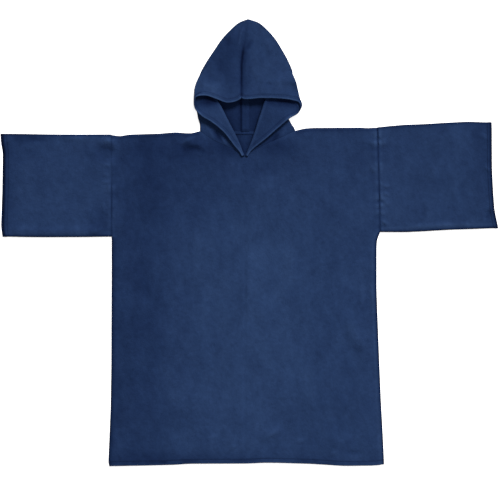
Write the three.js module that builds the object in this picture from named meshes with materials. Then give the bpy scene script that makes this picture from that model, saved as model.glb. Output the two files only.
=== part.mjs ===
// Hooded bath poncho in thick, soft microfibre towelling. It lies flat on its back, with the sleeves out to
// the sides and the mouth of the hood open upwards.
// Units are millimetres. The pieces are made with x across, 0 near the middle of the neck, y up from the hem
// to the tip of the hood, and z up from the surface that the cloth lies on. The last lines move the middle of
// the whole to the origin.

import * as THREE from 'three';

// Cloth and seams
const CLOTH = 2.5;
const HALF_CLOTH = CLOTH / 2;
const SEAM_GAP = 0.3;
const HALF_GAP = SEAM_GAP / 2;
const NECK_GAP = 0.45; // up the body, so that the slanting neck seam keeps its gap
const AIR = 1.2; // between back and front at their edges
const PUFF = 1.6; // more air between them away from the edges
const PUFF_REACH = 60; // how far in from an edge that air takes to build up
const SEAM_DIP = 0.9; // how deep the surface dips at a seam inside the garment
const SEAM_DIP_WIDE = 4;
const HEM_DIP = 0.5; // how much the hem's edge is rounded off
const ROUND = 8; // width of the rounding at a sewn outer edge
const ROUND_UNDER = 3; // the same on the side that lies on the surface
const EDGE_THICK = 0.8; // what is left of a panel at that edge

const FLOOR_MID = HALF_CLOTH; // middle of the cloth that lies on the surface
const FRONT_MID = CLOTH + AIR + HALF_CLOTH; // middle of the front, at its edges
const LOWEST_FRONT = CLOTH + SEAM_GAP + HALF_CLOTH;

// Outline of the body, as seen from above
const LEFT_SIDE = [
  { up: 0, across: -405 },
  { up: 12, across: -408 },
  { up: 78, across: -405 },
  { up: 174, across: -401 },
  { up: 300, across: -399 },
  { up: 600, across: -398 },
  { up: 1030, across: -399 },
];
const RIGHT_SIDE = [
  { up: 0, across: 419 },
  { up: 48, across: 417 },
  { up: 126, across: 413 },
  { up: 198, across: 409 },
  { up: 342, across: 403 },
  { up: 486, across: 397.5 },
  { up: 534, across: 396 },
  { up: 654, across: 396 },
  { up: 678, across: 397.5 },
  { up: 701, across: 406.5 },
  { up: 1016, across: 398.4 },
];
const HEM = [
  { across: -420, up: 0 },
  { across: -302, up: 2 },
  { across: -206, up: 4.5 },
  { across: -170, up: 7.5 },
  { across: 10, up: 8 },
  { across: 58, up: 10.5 },
  { across: 106, up: 10 },
  { across: 202, up: 7 },
  { across: 298, up: 1 },
  { across: 390, up: 2 },
  { across: 420, up: 5.5 },
];
const SHOULDERS = [
  { across: -410, up: 994.5 },
  { across: -374, up: 989 },
  { across: -348, up: 994 },
  { across: -254, up: 997 },
  { across: -206, up: 1001 },
  { across: -181, up: 998.5 },
  { across: -157, up: 998 },
  { across: -144, up: 1002 },
  { across: -132, up: 1004.5 },
  { across: 151, up: 1005 },
  { across: 178, up: 1012 },
  { across: 202, up: 1014 },
  { across: 346, up: 1015 },
  { across: 370, up: 1013.5 },
  { across: 410, up: 1015.5 },
];
const UNDERARM = { left: 687, right: 701 };

// Where the hood is sewn on: the front neckline from each side of the neck to the point of the V
const FRONT_NECK = {
  left: [
    { across: -132, up: 1004.5 },
    { across: -98, up: 979 },
    { across: -58, up: 961 },
    { across: -28, up: 947 },
    { across: -9, up: 935 },
    { across: 1, up: 928.5 },
  ],
  right: [
    { across: 151, up: 1005 },
    { across: 112, up: 986 },
    { across: 72, up: 969 },
    { across: 38, up: 951 },
    { across: 12, up: 935 },
    { across: 1, up: 928.5 },
  ],
};
const V_ACROSS = 1;
const BACK_NECK = [
  { across: -132, up: 1004.5 },
  { across: -70, up: 999 },
  { across: -9, up: 997.5 },
  { across: 80, up: 999 },
  { across: 151, up: 1005 },
];

// Sleeves: stations from the armhole to the cuff. "lower" is the underarm edge and "upper" the shoulder edge.
const SLEEVES = {
  left: {
    armhole: [
      { up: 687, across: -399 },
      { up: 994.5, across: -399 },
    ],
    stations: [
      { out: 30, lower: 686.8, upper: 994.5 },
      { out: 80, lower: 686, upper: 994.2 },
      { out: 140, lower: 685.8, upper: 994.3 },
      { out: 200, lower: 685.5, upper: 995 },
      { out: 262, lower: 686, upper: 996.2 },
      { out: 306, lower: 687, upper: 996.5 },
    ],
    cuff: [
      { up: 688, across: -726 },
      { up: 720, across: -730 },
      { up: 822, across: -726.5 },
      { up: 894, across: -725.5 },
      { up: 942, across: -725 },
      { up: 968, across: -730 },
      { up: 994, across: -732 },
    ],
    upperSetBack: 6,
  },
  right: {
    armhole: [
      { up: 701, across: 406.5 },
      { up: 1016, across: 398.4 },
    ],
    stations: [
      { out: 30, lower: 700.8, upper: 1019 },
      { out: 80, lower: 700.8, upper: 1023.5 },
      { out: 140, lower: 704, upper: 1025.5 },
      { out: 205, lower: 708, upper: 1029.5 },
      { out: 275, lower: 710.2, upper: 1033 },
      { out: 326, lower: 712.5, upper: 1031 },
    ],
    cuff: [
      { up: 714, across: 761 },
      { up: 726, across: 759 },
      { up: 750, across: 753.5 },
      { up: 774, across: 749.5 },
      { up: 822, across: 746 },
      { up: 894, across: 742.5 },
      { up: 1014, across: 742 },
      { up: 1029, across: 741.5 },
    ],
    upperSetBack: 3,
  },
};

const CUFF_HEM = 13;

// Broad, soft folds of the upper cloth: a ridge from one point to another, or a trough where "high" is below 0
const FOLDS = [
  { name: 'left shoulder ridge', x1: -450, y1: 970, x2: -365, y2: 962, wide: 18, high: 3.2 },
  { name: 'left shoulder trough', x1: -450, y1: 934, x2: -355, y2: 930, wide: 20, high: -1.8 },
  { name: 'left neck ridge', x1: -185, y1: 976, x2: -120, y2: 962, wide: 18, high: 3 },
  { name: 'left neck trough', x1: -195, y1: 944, x2: -125, y2: 934, wide: 20, high: -1.8 },
  { name: 'right armhole ridge', x1: 388, y1: 990, x2: 396, y2: 880, wide: 16, high: 2.4 },
  { name: 'left sleeve underarm ridge', x1: -700, y1: 708, x2: -420, y2: 705, wide: 16, high: 2 },
  { name: 'middle ridge', x1: -48, y1: 600, x2: -36, y2: 190, wide: 26, high: 1.8 },
  { name: 'middle right ridge', x1: 60, y1: 560, x2: 40, y2: 260, wide: 28, high: 1.3 },
  { name: 'right side ridge', x1: 330, y1: 470, x2: 338, y2: 330, wide: 26, high: 2.6 },
  { name: 'right side trough', x1: 368, y1: 590, x2: 366, y2: 440, wide: 18, high: -1.4 },
  { name: 'hem ridge', x1: 40, y1: 78, x2: 120, y2: 120, wide: 22, high: 2.2 },
  { name: 'right corner ridge', x1: 250, y1: 60, x2: 330, y2: 84, wide: 24, high: 2 },
  { name: 'left side ridge', x1: -300, y1: 520, x2: -330, y2: 240, wide: 30, high: 1.4 },
  { name: 'chest ridge', x1: -120, y1: 840, x2: 160, y2: 820, wide: 34, high: 1.2 },
];

// Hood. Each half is one piece of cloth, from the seam down the middle of the back to its other edge, which is
// the hem of the mouth low down and the seam over the top higher up. A row is one section of that piece:
//   side      where the cloth turns up at the side of the hood
//   tuck      where the slack at the side of the face turns out again, as a lapel does, with z of its middle
//   turn      where it turns in a third time, over the mouth, with z of its middle and perhaps its radius
//   edge      the hem of the mouth
//   sideTop   z of the cloth where a plain fold at the side ends
//   bend      how far that row curves down to the hem, from 0 to 1
//   foldWidth how far that row's fold reaches in, where it meets a pleat
// The lapels come first, from the neck up. At the corner of the mouth the hem stands up, in the pleats above
// it the slack is hidden under the cloth over the mouth, and further up the hood is a tube with no slack.
// The seam between the halves: down the middle of the back, and over the top above the mouth, with its z
const SEAM_LEVELS = [
  { back: [-9, 1010] },
  { back: [-9, 1023] },
  { back: [-9, 1047] },
  { back: [-9, 1068] },
  { back: [-9, 1085] },
  { back: [-9, 1101] },
  { back: [-9, 1118] },
  { back: [-9, 1134] },
  { back: [-9, 1152] },
  { back: [-9, 1170] },
  { back: [-9, 1188], top: [-9, 1104, 22] },
  { back: [-9, 1218], top: [-9, 1152, 19] },
  { back: [-6, 1248], top: [-9, 1200, 16.5] },
  { back: [-2, 1278], top: [-4.5, 1242, 14.5] },
  { back: [3, 1305], top: [3, 1284, 12.5] },
  { back: [7.5, 1325], top: [7.5, 1317, 11] },
];
const HOOD_ROWS = {
  left: {
    lapels: [
      { side: [-132, 1014], tuck: [-8, 947, 9.4], edge: [-16, 942, 12.2] },
      { side: [-132.5, 1024], tuck: [-15, 966, 10.3], edge: [-29, 957, 14] },
      { side: [-138, 1042.5], tuck: [-33, 1003.5, 12], edge: [-63, 1000, 17.5] },
      { side: [-141, 1059], tuck: [-52, 1040, 14], edge: [-99, 1029.5, 21] },
      { side: [-144, 1074], tuck: [-69, 1074, 15], edge: [-130, 1048.5, 24] },
    ],
    corner: { side: [-147, 1089], tuck: [-82.5, 1098, 15], turn: [-149, 1073, 20.5], edge: [-149, 1072, 28] },
    pleats: [
      { side: [-148.5, 1105], tuck: [-96, 1117.5, 13.5], turn: [-152.5, 1092, 20], edge: [-146, 1101, 29.5] },
      { side: [-147.5, 1122], tuck: [-109.5, 1134, 12], turn: [-152, 1112, 17.5], edge: [-115.5, 1110, 28] },
      { side: [-144, 1139], tuck: [-118, 1146, 10.5], turn: [-150.5, 1129, 15.5], edge: [-85.5, 1101.5, 26] },
      { side: [-139, 1157], tuck: [-125.5, 1159, 8.8], turn: [-145, 1149, 14.2, 3.3], edge: [-49, 1089, 22] },
    ],
    tubes: [
      { side: [-135.5, 1173], sideTop: 15, bend: 0.5, foldWidth: 5 },
      { side: [-114.5, 1210], sideTop: 13.5 },
      { side: [-93, 1245], sideTop: 12.5 },
      { side: [-71, 1278], sideTop: 11.5 },
      { side: [-46, 1305], sideTop: 10.5 },
      { side: [-20, 1327], sideTop: 9.5 },
    ],
  },
  right: {
    lapels: [
      { side: [148, 1013], tuck: [10, 946, 9.4], edge: [18, 941, 12.2] },
      { side: [142, 1022], tuck: [17, 962, 10.3], edge: [31, 954, 14] },
      { side: [131.5, 1040], tuck: [30, 998, 12], edge: [63, 979, 17] },
      { side: [124.5, 1057], tuck: [41.5, 1034, 13.5], edge: [99, 1010.5, 19] },
      { side: [122, 1073], tuck: [52.5, 1067, 14], edge: [132, 1038.5, 18.5] },
    ],
    corner: { side: [124.5, 1089], tuck: [61.5, 1094, 13.5], turn: [161, 1063, 6.5], edge: [161, 1062, 14] },
    pleats: [
      { side: [132, 1106], tuck: [72, 1117.5, 12.5], turn: [169.5, 1082, 6.3], edge: [164, 1087, 11.5] },
      { side: [139.5, 1122], tuck: [85.5, 1136, 11.5], turn: [165, 1103, 6.3], edge: [141, 1097.5, 18.5] },
      { side: [144, 1139], tuck: [106.5, 1151, 10.5], turn: [160, 1124, 6.6], edge: [104, 1102, 23] },
      { side: [143.5, 1158], tuck: [128, 1160, 8.8], turn: [151, 1149, 13.6, 3.3], edge: [52.5, 1103, 24] },
    ],
    tubes: [
      { side: [142.5, 1177], sideTop: 15, bend: 0.5, foldWidth: 5 },
      { side: [130.5, 1212], sideTop: 13.5 },
      { side: [112.5, 1245], sideTop: 12.5 },
      { side: [92, 1278], sideTop: 11.5 },
      { side: [68.5, 1305], sideTop: 10.5 },
      { side: [43, 1327], sideTop: 9.5 },
    ],
  },
};
const NAPE = [-9, 997.5];
const CROWN = { across: 10.5, up: 1341.5, round: 4.5, top: 10 };
const SIDE_TURN = 2.4; // radius of the turn at the hood's side
const TUCK_TURN = 2.5;
const MOUTH_TURN = 2.6;
const OVER_BOW = 7; // how far the rows over the mouth bow upwards before they reach its hem
const UNDER_SAG = 0.2; // of the cloth between the side and the tuck
const FLAT_SHARE = 1.3; // width of a plain fold for its height
const V_CLEAR = 2.4; // from the point of the V to where each lapel starts
const V_FLAP = 10; // length of the lapel's lower end
const V_RISE = 0.5;
const NECK_SEAM_SPANS = [2, 2, 2, 1, 1];

// How finely the cloth is divided: distances in from an outer edge and up from the hem, shares of the way from
// the neck to the side, and numbers of spans
const EDGE_STEPS = [0, 1.2, 3.5, ROUND];
const HEM_STEPS = [0, 1.5, 11, 15];
const UNDERARM_STEP = 2;
const SHOULDER_STOPS = [0.9, 0.8, 0.69, 0.57, 0.47, 0.4];
const HOOD_SPANS = { back: 3, turn: 4, under: 8, wing: 4, over: 6 };
const HOOD_ROW_STEPS = 2;
const SLEEVE_SPANS = { under: 4, turn: 4, over: 12 };

const NAVY = 0x2a3f66;

const mix = (a, b, share) => a + (b - a) * share;
const clamp01 = (value) => Math.min(Math.max(value, 0), 1);
const quarterRound = (share) => Math.sqrt(1 - (1 - clamp01(share)) ** 2);
const along = (count) => Array.from({ length: count + 1 }, (_, i) => i / count);

// The value in one column of a table at a given value of another, straight between rows
function lookUp(table, from, value, to) {
  const last = table.length - 1;
  let i = 0;
  while (i < last - 1 && value > table[i + 1][from]) i += 1;
  const share = clamp01((value - table[i][from]) / (table[i + 1][from] - table[i][from]));
  return mix(table[i][to], table[i + 1][to], share);
}

const leftSide = (up) => lookUp(LEFT_SIDE, 'up', up, 'across');
const rightSide = (up) => lookUp(RIGHT_SIDE, 'up', up, 'across');
const hemUp = (across) => lookUp(HEM, 'across', across, 'up');
const shoulderUp = (across) => lookUp(SHOULDERS, 'across', across, 'up');

function foldHeight(fold, x, y) {
  const [dx, dy] = [fold.x2 - fold.x1, fold.y2 - fold.y1];
  const share = clamp01(((x - fold.x1) * dx + (y - fold.y1) * dy) / (dx * dx + dy * dy));
  const away = Math.hypot(x - fold.x1 - dx * share, y - fold.y1 - dy * share);
  return fold.high * Math.exp(-((away / fold.wide) ** 2));
}

// How far the nearest edge of the garment's body or sleeve is, going across or up
function edgeDistance(x, y) {
  const inBody = x > leftSide(y) && x < rightSide(y);
  if (inBody) {
    const toSide = y < UNDERARM.left ? Math.min(x - leftSide(y), rightSide(y) - x) : PUFF_REACH;
    return Math.max(0, Math.min(toSide, y - hemUp(x), shoulderUp(x) - y));
  }
  const { stations } = x < 0 ? SLEEVES.left : SLEEVES.right;
  const out = Math.abs(x) - Math.abs(x < 0 ? leftSide(y) : rightSide(y));
  const [lower, upper] = ['lower', 'upper'].map((edge) => lookUp(stations, 'out', out, edge));
  return Math.max(0, Math.min(y - lower, upper - y));
}

// Height of the middle of the upper cloth, on the body and on both sleeves
function upperMid(x, y) {
  const puff = PUFF * Math.sin((clamp01(edgeDistance(x, y) / PUFF_REACH) * Math.PI) / 2);
  const folds = FOLDS.reduce((sum, fold) => sum + foldHeight(fold, x, y), 0);
  return Math.max(LOWEST_FRONT, FRONT_MID + puff + folds);
}

// A closed solid between two grids of points. "closedRows" says that each row closes on itself, as on a tube.
function clothSolid(outer, inner, closedRows) {
  const rows = outer.length;
  const columns = outer[0].length;
  const positions = [...outer.flat(), ...inner.flat()].flatMap((p) => [p.x, p.y, p.z]);
  const id = (side, i, j) => side * rows * columns + i * columns + (j % columns);
  const faces = [];
  const quad = (a, b, c, d) => faces.push(a, b, c, a, c, d);
  const spans = closedRows ? columns : columns - 1;
  for (let i = 0; i < rows - 1; i += 1) {
    for (let j = 0; j < spans; j += 1) {
      quad(id(0, i, j), id(0, i, j + 1), id(0, i + 1, j + 1), id(0, i + 1, j));
      quad(id(1, i, j), id(1, i + 1, j), id(1, i + 1, j + 1), id(1, i, j + 1));
    }
  }
  for (let j = 0; j < spans; j += 1) {
    quad(id(0, 0, j), id(1, 0, j), id(1, 0, j + 1), id(0, 0, j + 1));
    quad(id(0, rows - 1, j), id(0, rows - 1, j + 1), id(1, rows - 1, j + 1), id(1, rows - 1, j));
  }
  if (!closedRows) {
    for (let i = 0; i < rows - 1; i += 1) {
      const end = columns - 1;
      quad(id(0, i, 0), id(0, i + 1, 0), id(1, i + 1, 0), id(1, i, 0));
      quad(id(0, i, end), id(1, i, end), id(1, i + 1, end), id(0, i + 1, end));
    }
  }
  const geometry = new THREE.BufferGeometry();
  geometry.setAttribute('position', new THREE.Float32BufferAttribute(positions, 3));
  geometry.setIndex(faces);
  geometry.computeVertexNormals();
  return geometry;
}

function piece(name, geometry) {
  const finish = { name: 'microfibre', color: NAVY, roughness: 0.95, metalness: 0 };
  const material = new THREE.MeshStandardMaterial(finish);
  const mesh = new THREE.Mesh(geometry, material);
  mesh.name = name;
  return mesh;
}

// Columns of a body panel, from its left edge to its right, each with the height of its top
function panelColumns(necklines) {
  const columns = [];
  const edgeOf = (side) => (side < 0 ? leftSide : rightSide)(UNDERARM.right);
  const addColumn = (side, share, inset) => {
    const x = V_ACROSS + (edgeOf(side) - V_ACROSS) * share - side * inset;
    columns.push({ side, share, inset, top: shoulderUp(x), neck: false });
  };
  EDGE_STEPS.forEach((inset) => addColumn(-1, 1, inset));
  SHOULDER_STOPS.forEach((stop) => addColumn(-1, stop, 0));
  const neckColumn = (p) => {
    const side = p.across < V_ACROSS ? -1 : 1;
    const edge = side < 0 ? leftSide(p.up) : rightSide(p.up);
    return { side, share: (p.across - V_ACROSS) / (edge - V_ACROSS), inset: 0, top: p.up, neck: true };
  };
  necklines.forEach((p) => columns.push(neckColumn(p)));
  [...SHOULDER_STOPS].reverse().slice(1).forEach((stop) => addColumn(1, stop, 0));
  [...EDGE_STEPS].reverse().forEach((inset) => addColumn(1, 1, inset));
  return columns;
}

// Rows of a body panel: from the hem, at shares of the way up to each side of the underarm, and from the top
function panelRows(sharesBelow, sharesAbove) {
  return [
    ...HEM_STEPS.map((above) => ({ above })),
    ...sharesBelow.map((share) => ({ share })),
    ...[-UNDERARM_STEP, UNDERARM_STEP].map((underarm) => ({ underarm })),
    ...sharesAbove.map((share) => ({ share })),
    ...[...EDGE_STEPS].reverse().map((below) => ({ below })),
  ];
}

// The plan of a panel: for every row and column its x and y, and how far it is from the hem, top and side
function panelPlan(columns, rows) {
  return rows.map((row) =>
    columns.map((column) => {
      const edge = column.side < 0 ? leftSide : rightSide;
      const hem = hemUp(V_ACROSS + (edge(0) - V_ACROSS) * column.share);
      const top = column.top - (column.neck ? NECK_GAP : 0);
      let y = mix(hem, top, row.share ?? 0);
      if (row.above !== undefined) y = hem + row.above;
      if (row.below !== undefined) y = top - row.below;
      const across = (1 + column.side * column.share) / 2;
      if (row.underarm !== undefined) y = mix(UNDERARM.left, UNDERARM.right, across) + row.underarm;
      const sewnToSleeve = y > (column.side < 0 ? UNDERARM.left : UNDERARM.right);
      const gap = sewnToSleeve && column.share === 1 ? HALF_GAP : 0;
      const x = V_ACROSS + (edge(y) - V_ACROSS) * column.share - column.side * (column.inset + gap);
      const toSide = column.share === 1 ? column.inset : Infinity;
      return { x, y, fromHem: y - hem, fromTop: top - y, toSide, neck: column.neck, sewnToSleeve };
    }),
  );
}

// How round the panel's edge is at a point: 0 at a sewn outer edge, 1 away from it
function outerEdge(p, width) {
  const side = p.sewnToSleeve ? Infinity : p.toSide;
  const top = p.neck ? Infinity : p.fromTop;
  return quarterRound(Math.min(side, top) / width);
}

// How deep the surface dips towards a seam inside the garment
function seamDip(p) {
  const distance = Math.min(p.sewnToSleeve ? p.toSide : Infinity, p.neck ? p.fromTop : Infinity);
  return SEAM_DIP * (1 - quarterRound(distance / SEAM_DIP_WIDE));
}

function frontPanel() {
  const necklines = [...FRONT_NECK.left, ...[...FRONT_NECK.right].reverse().slice(1)];
  const below = [0.05, 0.09, 0.14, 0.2, 0.26, 0.32, 0.38, 0.44, 0.5, 0.56, 0.62, 0.665];
  const above = [0.77, 0.8, 0.84, 0.88, 0.915, 0.945, 0.97];
  const plan = panelPlan(panelColumns(necklines), panelRows(below, above));
  const upper = plan.map((row) => row.map((p) => {
    const round = outerEdge(p, ROUND);
    const hemDip = HEM_DIP * (1 - quarterRound(p.fromHem / HEM_STEPS[1]));
    const crest = upperMid(p.x, p.y) + HALF_CLOTH - seamDip(p) - hemDip;
    return new THREE.Vector3(p.x, p.y, mix(CLOTH + SEAM_GAP + EDGE_THICK, crest, round));
  }));
  const lower = plan.map((row) => row.map((p) => {
    const round = outerEdge(p, ROUND);
    return new THREE.Vector3(p.x, p.y, mix(CLOTH + SEAM_GAP, upperMid(p.x, p.y) - HALF_CLOTH, round));
  }));
  return piece('front_panel', clothSolid(upper, lower, false));
}

function backPanel() {
  const plan = panelPlan(panelColumns(BACK_NECK), panelRows([0.08, 0.2, 0.35, 0.5, 0.62], [0.77, 0.86, 0.93]));
  const upper = plan.map((row) => row.map((p) => new THREE.Vector3(p.x, p.y, CLOTH)));
  const lower = plan.map((row) => row.map((p) => {
    const lift = (CLOTH - EDGE_THICK) * (1 - outerEdge(p, ROUND_UNDER));
    return new THREE.Vector3(p.x, p.y, lift);
  }));
  return piece('back_panel', clothSolid(upper, lower, false));
}

// One section of a sleeve: a flat loop, from the underarm edge along the surface, up round the shoulder edge
// and back. Each point has the direction that the outside of the cloth faces there.
function sleeveSection(lower, upper, across) {
  const loop = [];
  const turnRadius = (y) => (upperMid(across(y), y) - FLOOR_MID) / 2;
  const put = (y, z, ny, nz) => loop.push({ y, z, ny, nz });
  const putTurn = (centre, radius, firstAngle) => along(SLEEVE_SPANS.turn).slice(1, -1).forEach((f) => {
    const angle = firstAngle + f * Math.PI;
    const [ny, nz] = [Math.cos(angle), Math.sin(angle)];
    put(centre + radius * ny, FLOOR_MID + radius * (1 + nz), ny, nz);
  });
  const [lowRadius, highRadius] = [turnRadius(lower), turnRadius(upper)];
  const [from, to] = [lower + HALF_CLOTH + lowRadius, upper - HALF_CLOTH - highRadius];
  along(SLEEVE_SPANS.under).forEach((f) => put(mix(from, to, f), FLOOR_MID, 0, -1));
  putTurn(to, highRadius, -Math.PI / 2);
  put(to, FLOOR_MID + 2 * highRadius, 0, 1);
  along(SLEEVE_SPANS.over).slice(1, -1).forEach((f) => {
    const y = mix(to, from, f);
    put(y, upperMid(across(y), y), 0, 1);
  });
  put(from, FLOOR_MID + 2 * lowRadius, 0, 1);
  putTurn(from, lowRadius, Math.PI / 2);
  return loop;
}

function sleeve(side) {
  const spec = SLEEVES[side];
  const outward = side === 'left' ? -1 : 1;
  const seam = (y) => lookUp(spec.armhole, 'up', y, 'across') + outward * HALF_GAP;
  const cuff = (y) => lookUp(spec.cuff, 'up', y, 'across');
  const first = { lower: spec.armhole[0].up, upper: spec.armhole[1].up };
  const lastStation = spec.stations[spec.stations.length - 1];
  const lines = [
    { ...first, across: seam },
    { ...first, across: (y) => seam(y) + outward * SEAM_DIP_WIDE },
    ...spec.stations.map((s) => ({ ...s, across: (y) => seam(y) + outward * s.out })),
    { ...lastStation, across: (y) => cuff(y) - outward * CUFF_HEM },
    { ...lastStation, across: cuff },
  ];
  const outer = [];
  const inner = [];
  lines.forEach((line, i) => {
    const atSeam = i === 0;
    const atCuff = i === lines.length - 1;
    const section = sleeveSection(line.lower, line.upper, line.across);
    const place = (half) => section.map((p) => {
      const onTop = clamp01((p.z - CLOTH) / CLOTH);
      const back = atCuff ? spec.upperSetBack * onTop : 0;
      const dip = atSeam && half > 0 ? SEAM_DIP * clamp01(p.nz) : 0;
      const x = line.across(p.y) - outward * back;
      return new THREE.Vector3(x, p.y + p.ny * half, p.z + p.nz * half - dip);
    });
    outer.push(place(HALF_CLOTH));
    inner.push(place(-HALF_CLOTH));
  });
  if (outward < 0) {
    outer.forEach((row) => row.reverse());
    inner.forEach((row) => row.reverse());
  }
  return piece(`sleeve_${side}`, clothSolid(outer, inner, true));
}

const flat = (x, y) => new THREE.Vector2(x, y);
const heading = (from, to) => to.clone().sub(from).normalize();
const outOf = (a, b, c) => heading(a, b).add(heading(c, b)).normalize();

// Points of a half turn of the cloth, whose nose is at "nose" and points "forward", from its lower layer to
// its upper
function turnPoints(nose, forward, middle, radius, spans, width = radius) {
  const centre = nose.clone().addScaledVector(forward, -width);
  return along(spans).map((f) => {
    const angle = (f - 0.5) * Math.PI;
    const p = centre.clone().addScaledVector(forward, width * Math.cos(angle));
    return new THREE.Vector3(p.x, p.y, middle + radius * Math.sin(angle));
  });
}

// Points of the cloth over the mouth, from the side to the edge. With "bend" at 1 they leave across and arrive
// up or down, so that they meet the hem of the mouth squarely.
function overPoints(from, edge, spans, bend, rise) {
  return along(spans).slice(1, -1).map((f) => {
    const quarter = (f * Math.PI) / 2;
    return new THREE.Vector3(
      mix(from.x, edge.x, mix(f, Math.sin(quarter), bend)),
      mix(from.y, edge.y, mix(f, 1 - Math.cos(quarter), bend)) + OVER_BOW * bend * Math.sin(2 * quarter),
      mix(from.z, edge.z, rise(f)),
    );
  });
}

// Points between two ends, without the ends themselves. "rise" shapes the height from 0 at the start to 1 at
// the end.
function between(from, to, spans, rise = (f) => f, sag = 0) {
  return along(spans).slice(1, -1).map((f) => new THREE.Vector3(
    mix(from.x, to.x, f),
    mix(from.y, to.y, f),
    mix(from.z, to.z, rise(f)) - sag * 4 * f * (1 - f),
  ));
}

// The lowest row of a hood half, which is sewn to the neck: along the back, round the side, and down to the V,
// where the lapel turns back over it
function neckRow(side) {
  const line = FRONT_NECK[side];
  const outward = side === 'left' ? -1 : 1;
  const height = (p) => upperMid(p.across, p.up - 1);
  const start = new THREE.Vector3(NAPE[0], NAPE[1] + SEAM_GAP, FLOOR_MID);
  const radius = (height(line[0]) - FLOOR_MID) / 2;
  const corner = flat(line[0].across, line[0].up + SEAM_GAP);
  const turn = turnPoints(corner, flat(outward, 0), FLOOR_MID + radius, radius, HOOD_SPANS.turn);
  const backLine = between(start, turn[0], HOOD_SPANS.back).map((p) => {
    p.y = lookUp(BACK_NECK, 'across', p.x, 'up') + SEAM_GAP;
    return p;
  });
  const v = line[line.length - 1];
  const beforeV = line[line.length - 2];
  const downTheNeck = heading(flat(beforeV.across, beforeV.up), flat(v.across, v.up));
  const nose = flat(v.across, v.up).addScaledVector(downTheNeck, -V_CLEAR);
  const top = upperMid(nose.x, nose.y - 1) + TUCK_TURN;
  const tuckTurn = turnPoints(nose, downTheNeck, top, TUCK_TURN, HOOD_SPANS.turn);
  const breaks = line.slice(1, -1).map((p) => new THREE.Vector3(p.across, p.up, height(p)));
  const stops = [turn[turn.length - 1], ...breaks, tuckTurn[0]];
  const seamLine = NECK_SEAM_SPANS.flatMap((spans, i) => [
    ...(i > 0 ? [stops[i]] : []),
    ...between(stops[i], stops[i + 1], spans),
  ]);
  const tip = nose.clone().addScaledVector(downTheNeck, -V_FLAP);
  const edge = new THREE.Vector3(tip.x, tip.y, top + TUCK_TURN + V_RISE);
  const lapel = lapelPoints(tuckTurn[HOOD_SPANS.turn], edge, 0);
  return [start, ...backLine, ...turn, ...seamLine, ...tuckTurn, ...lapel];
}

// Points of the lapel from the tuck to the hem. With "crowd" at 1 the last ones are close to the hem, as they
// are at its corner.
function lapelPoints(from, edge, crowd) {
  const { wing, turn, over } = HOOD_SPANS;
  const [wingEnd, turnEnd] = [mix(0.5, 0.8, crowd), mix(0.7, 0.9, crowd)];
  const shares = [
    ...along(wing).slice(1).map((f) => f * wingEnd),
    ...along(turn).slice(1).map((f) => mix(wingEnd, turnEnd, f)),
    ...along(over).slice(1).map((f) => mix(turnEnd, 1, f)),
  ];
  return shares.map((f) => from.clone().lerp(edge, f));
}

const risesFast = (f) => Math.sin((f * Math.PI) / 2);
const risesLate = (f) => f * f;

// The start of a row that has slack: the back, the turn at the side and the tuck
function rowToTuck(row, level, beyond) {
  const { turn, under, back } = HOOD_SPANS;
  const start = new THREE.Vector3(...level.back, FLOOR_MID);
  const [middle, side, tuck] = [flat(...level.back), flat(...row.side), flat(row.tuck[0], row.tuck[1])];
  const sideTurn = turnPoints(side, outOf(middle, side, tuck), FLOOR_MID + SIDE_TURN, SIDE_TURN, turn);
  const tuckTurn = turnPoints(tuck, outOf(side, tuck, beyond), row.tuck[2], TUCK_TURN, turn);
  const underPoints = between(sideTurn[turn], tuckTurn[0], under, risesLate, UNDER_SAG);
  return [start, ...between(start, sideTurn[0], back), ...sideTurn, ...underPoints, ...tuckTurn];
}

function lapelRow(row, level, crowd) {
  const edge = new THREE.Vector3(...row.edge);
  const points = rowToTuck(row, level, flat(edge.x, edge.y));
  return [...points, ...lapelPoints(points[points.length - 1], edge, crowd)];
}

function pleatRow(row, level, upright) {
  const { turn, wing, over } = HOOD_SPANS;
  const [x, y, middle, radius = MOUTH_TURN] = row.turn;
  const [nose, edge] = [flat(x, y), new THREE.Vector3(...row.edge)];
  const points = rowToTuck(row, level, nose);
  const forward = heading(flat(row.tuck[0], row.tuck[1]), nose);
  const wholeTurn = turnPoints(nose, forward, middle, radius, upright ? 2 * turn : turn);
  const mouthTurn = wholeTurn.slice(0, turn + 1);
  points.push(...between(points[points.length - 1], mouthTurn[0], wing, risesLate), ...mouthTurn);
  const [bend, rise] = upright ? [0, (f) => f] : [1, risesFast];
  return [...points, ...overPoints(mouthTurn[turn], edge, over, bend, rise), edge];
}

function tubeRow({ side, sideTop, bend = 0, foldWidth }, level) {
  const { turn, under, wing, back, over } = HOOD_SPANS;
  const start = new THREE.Vector3(...level.back, FLOOR_MID);
  const edge = new THREE.Vector3(...level.top);
  const [middle, nose] = [flat(...level.back), flat(...side)];
  const radius = (sideTop - FLOOR_MID) / 2;
  const width = foldWidth ?? Math.min(radius * FLAT_SHARE, nose.distanceTo(middle) / 3);
  const forward = outOf(middle, nose, flat(edge.x, edge.y));
  const sideTurn = turnPoints(nose, forward, FLOOR_MID + radius, radius, 3 * turn + under + wing, width);
  const top = sideTurn[sideTurn.length - 1];
  const overTheMouth = overPoints(top, edge, over, bend, risesFast);
  return [start, ...between(start, sideTurn[0], back), ...sideTurn, ...overTheMouth, edge];
}

// The last row, over the tip of the hood, where the seam comes over from the back to the top
function crownRow(columns) {
  const radius = (CROWN.top - FLOOR_MID) / 2;
  const nose = flat(CROWN.across, CROWN.up - HALF_CLOTH);
  return turnPoints(nose, flat(0, 1), FLOOR_MID + radius, radius, columns - 1, CROWN.round);
}

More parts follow.
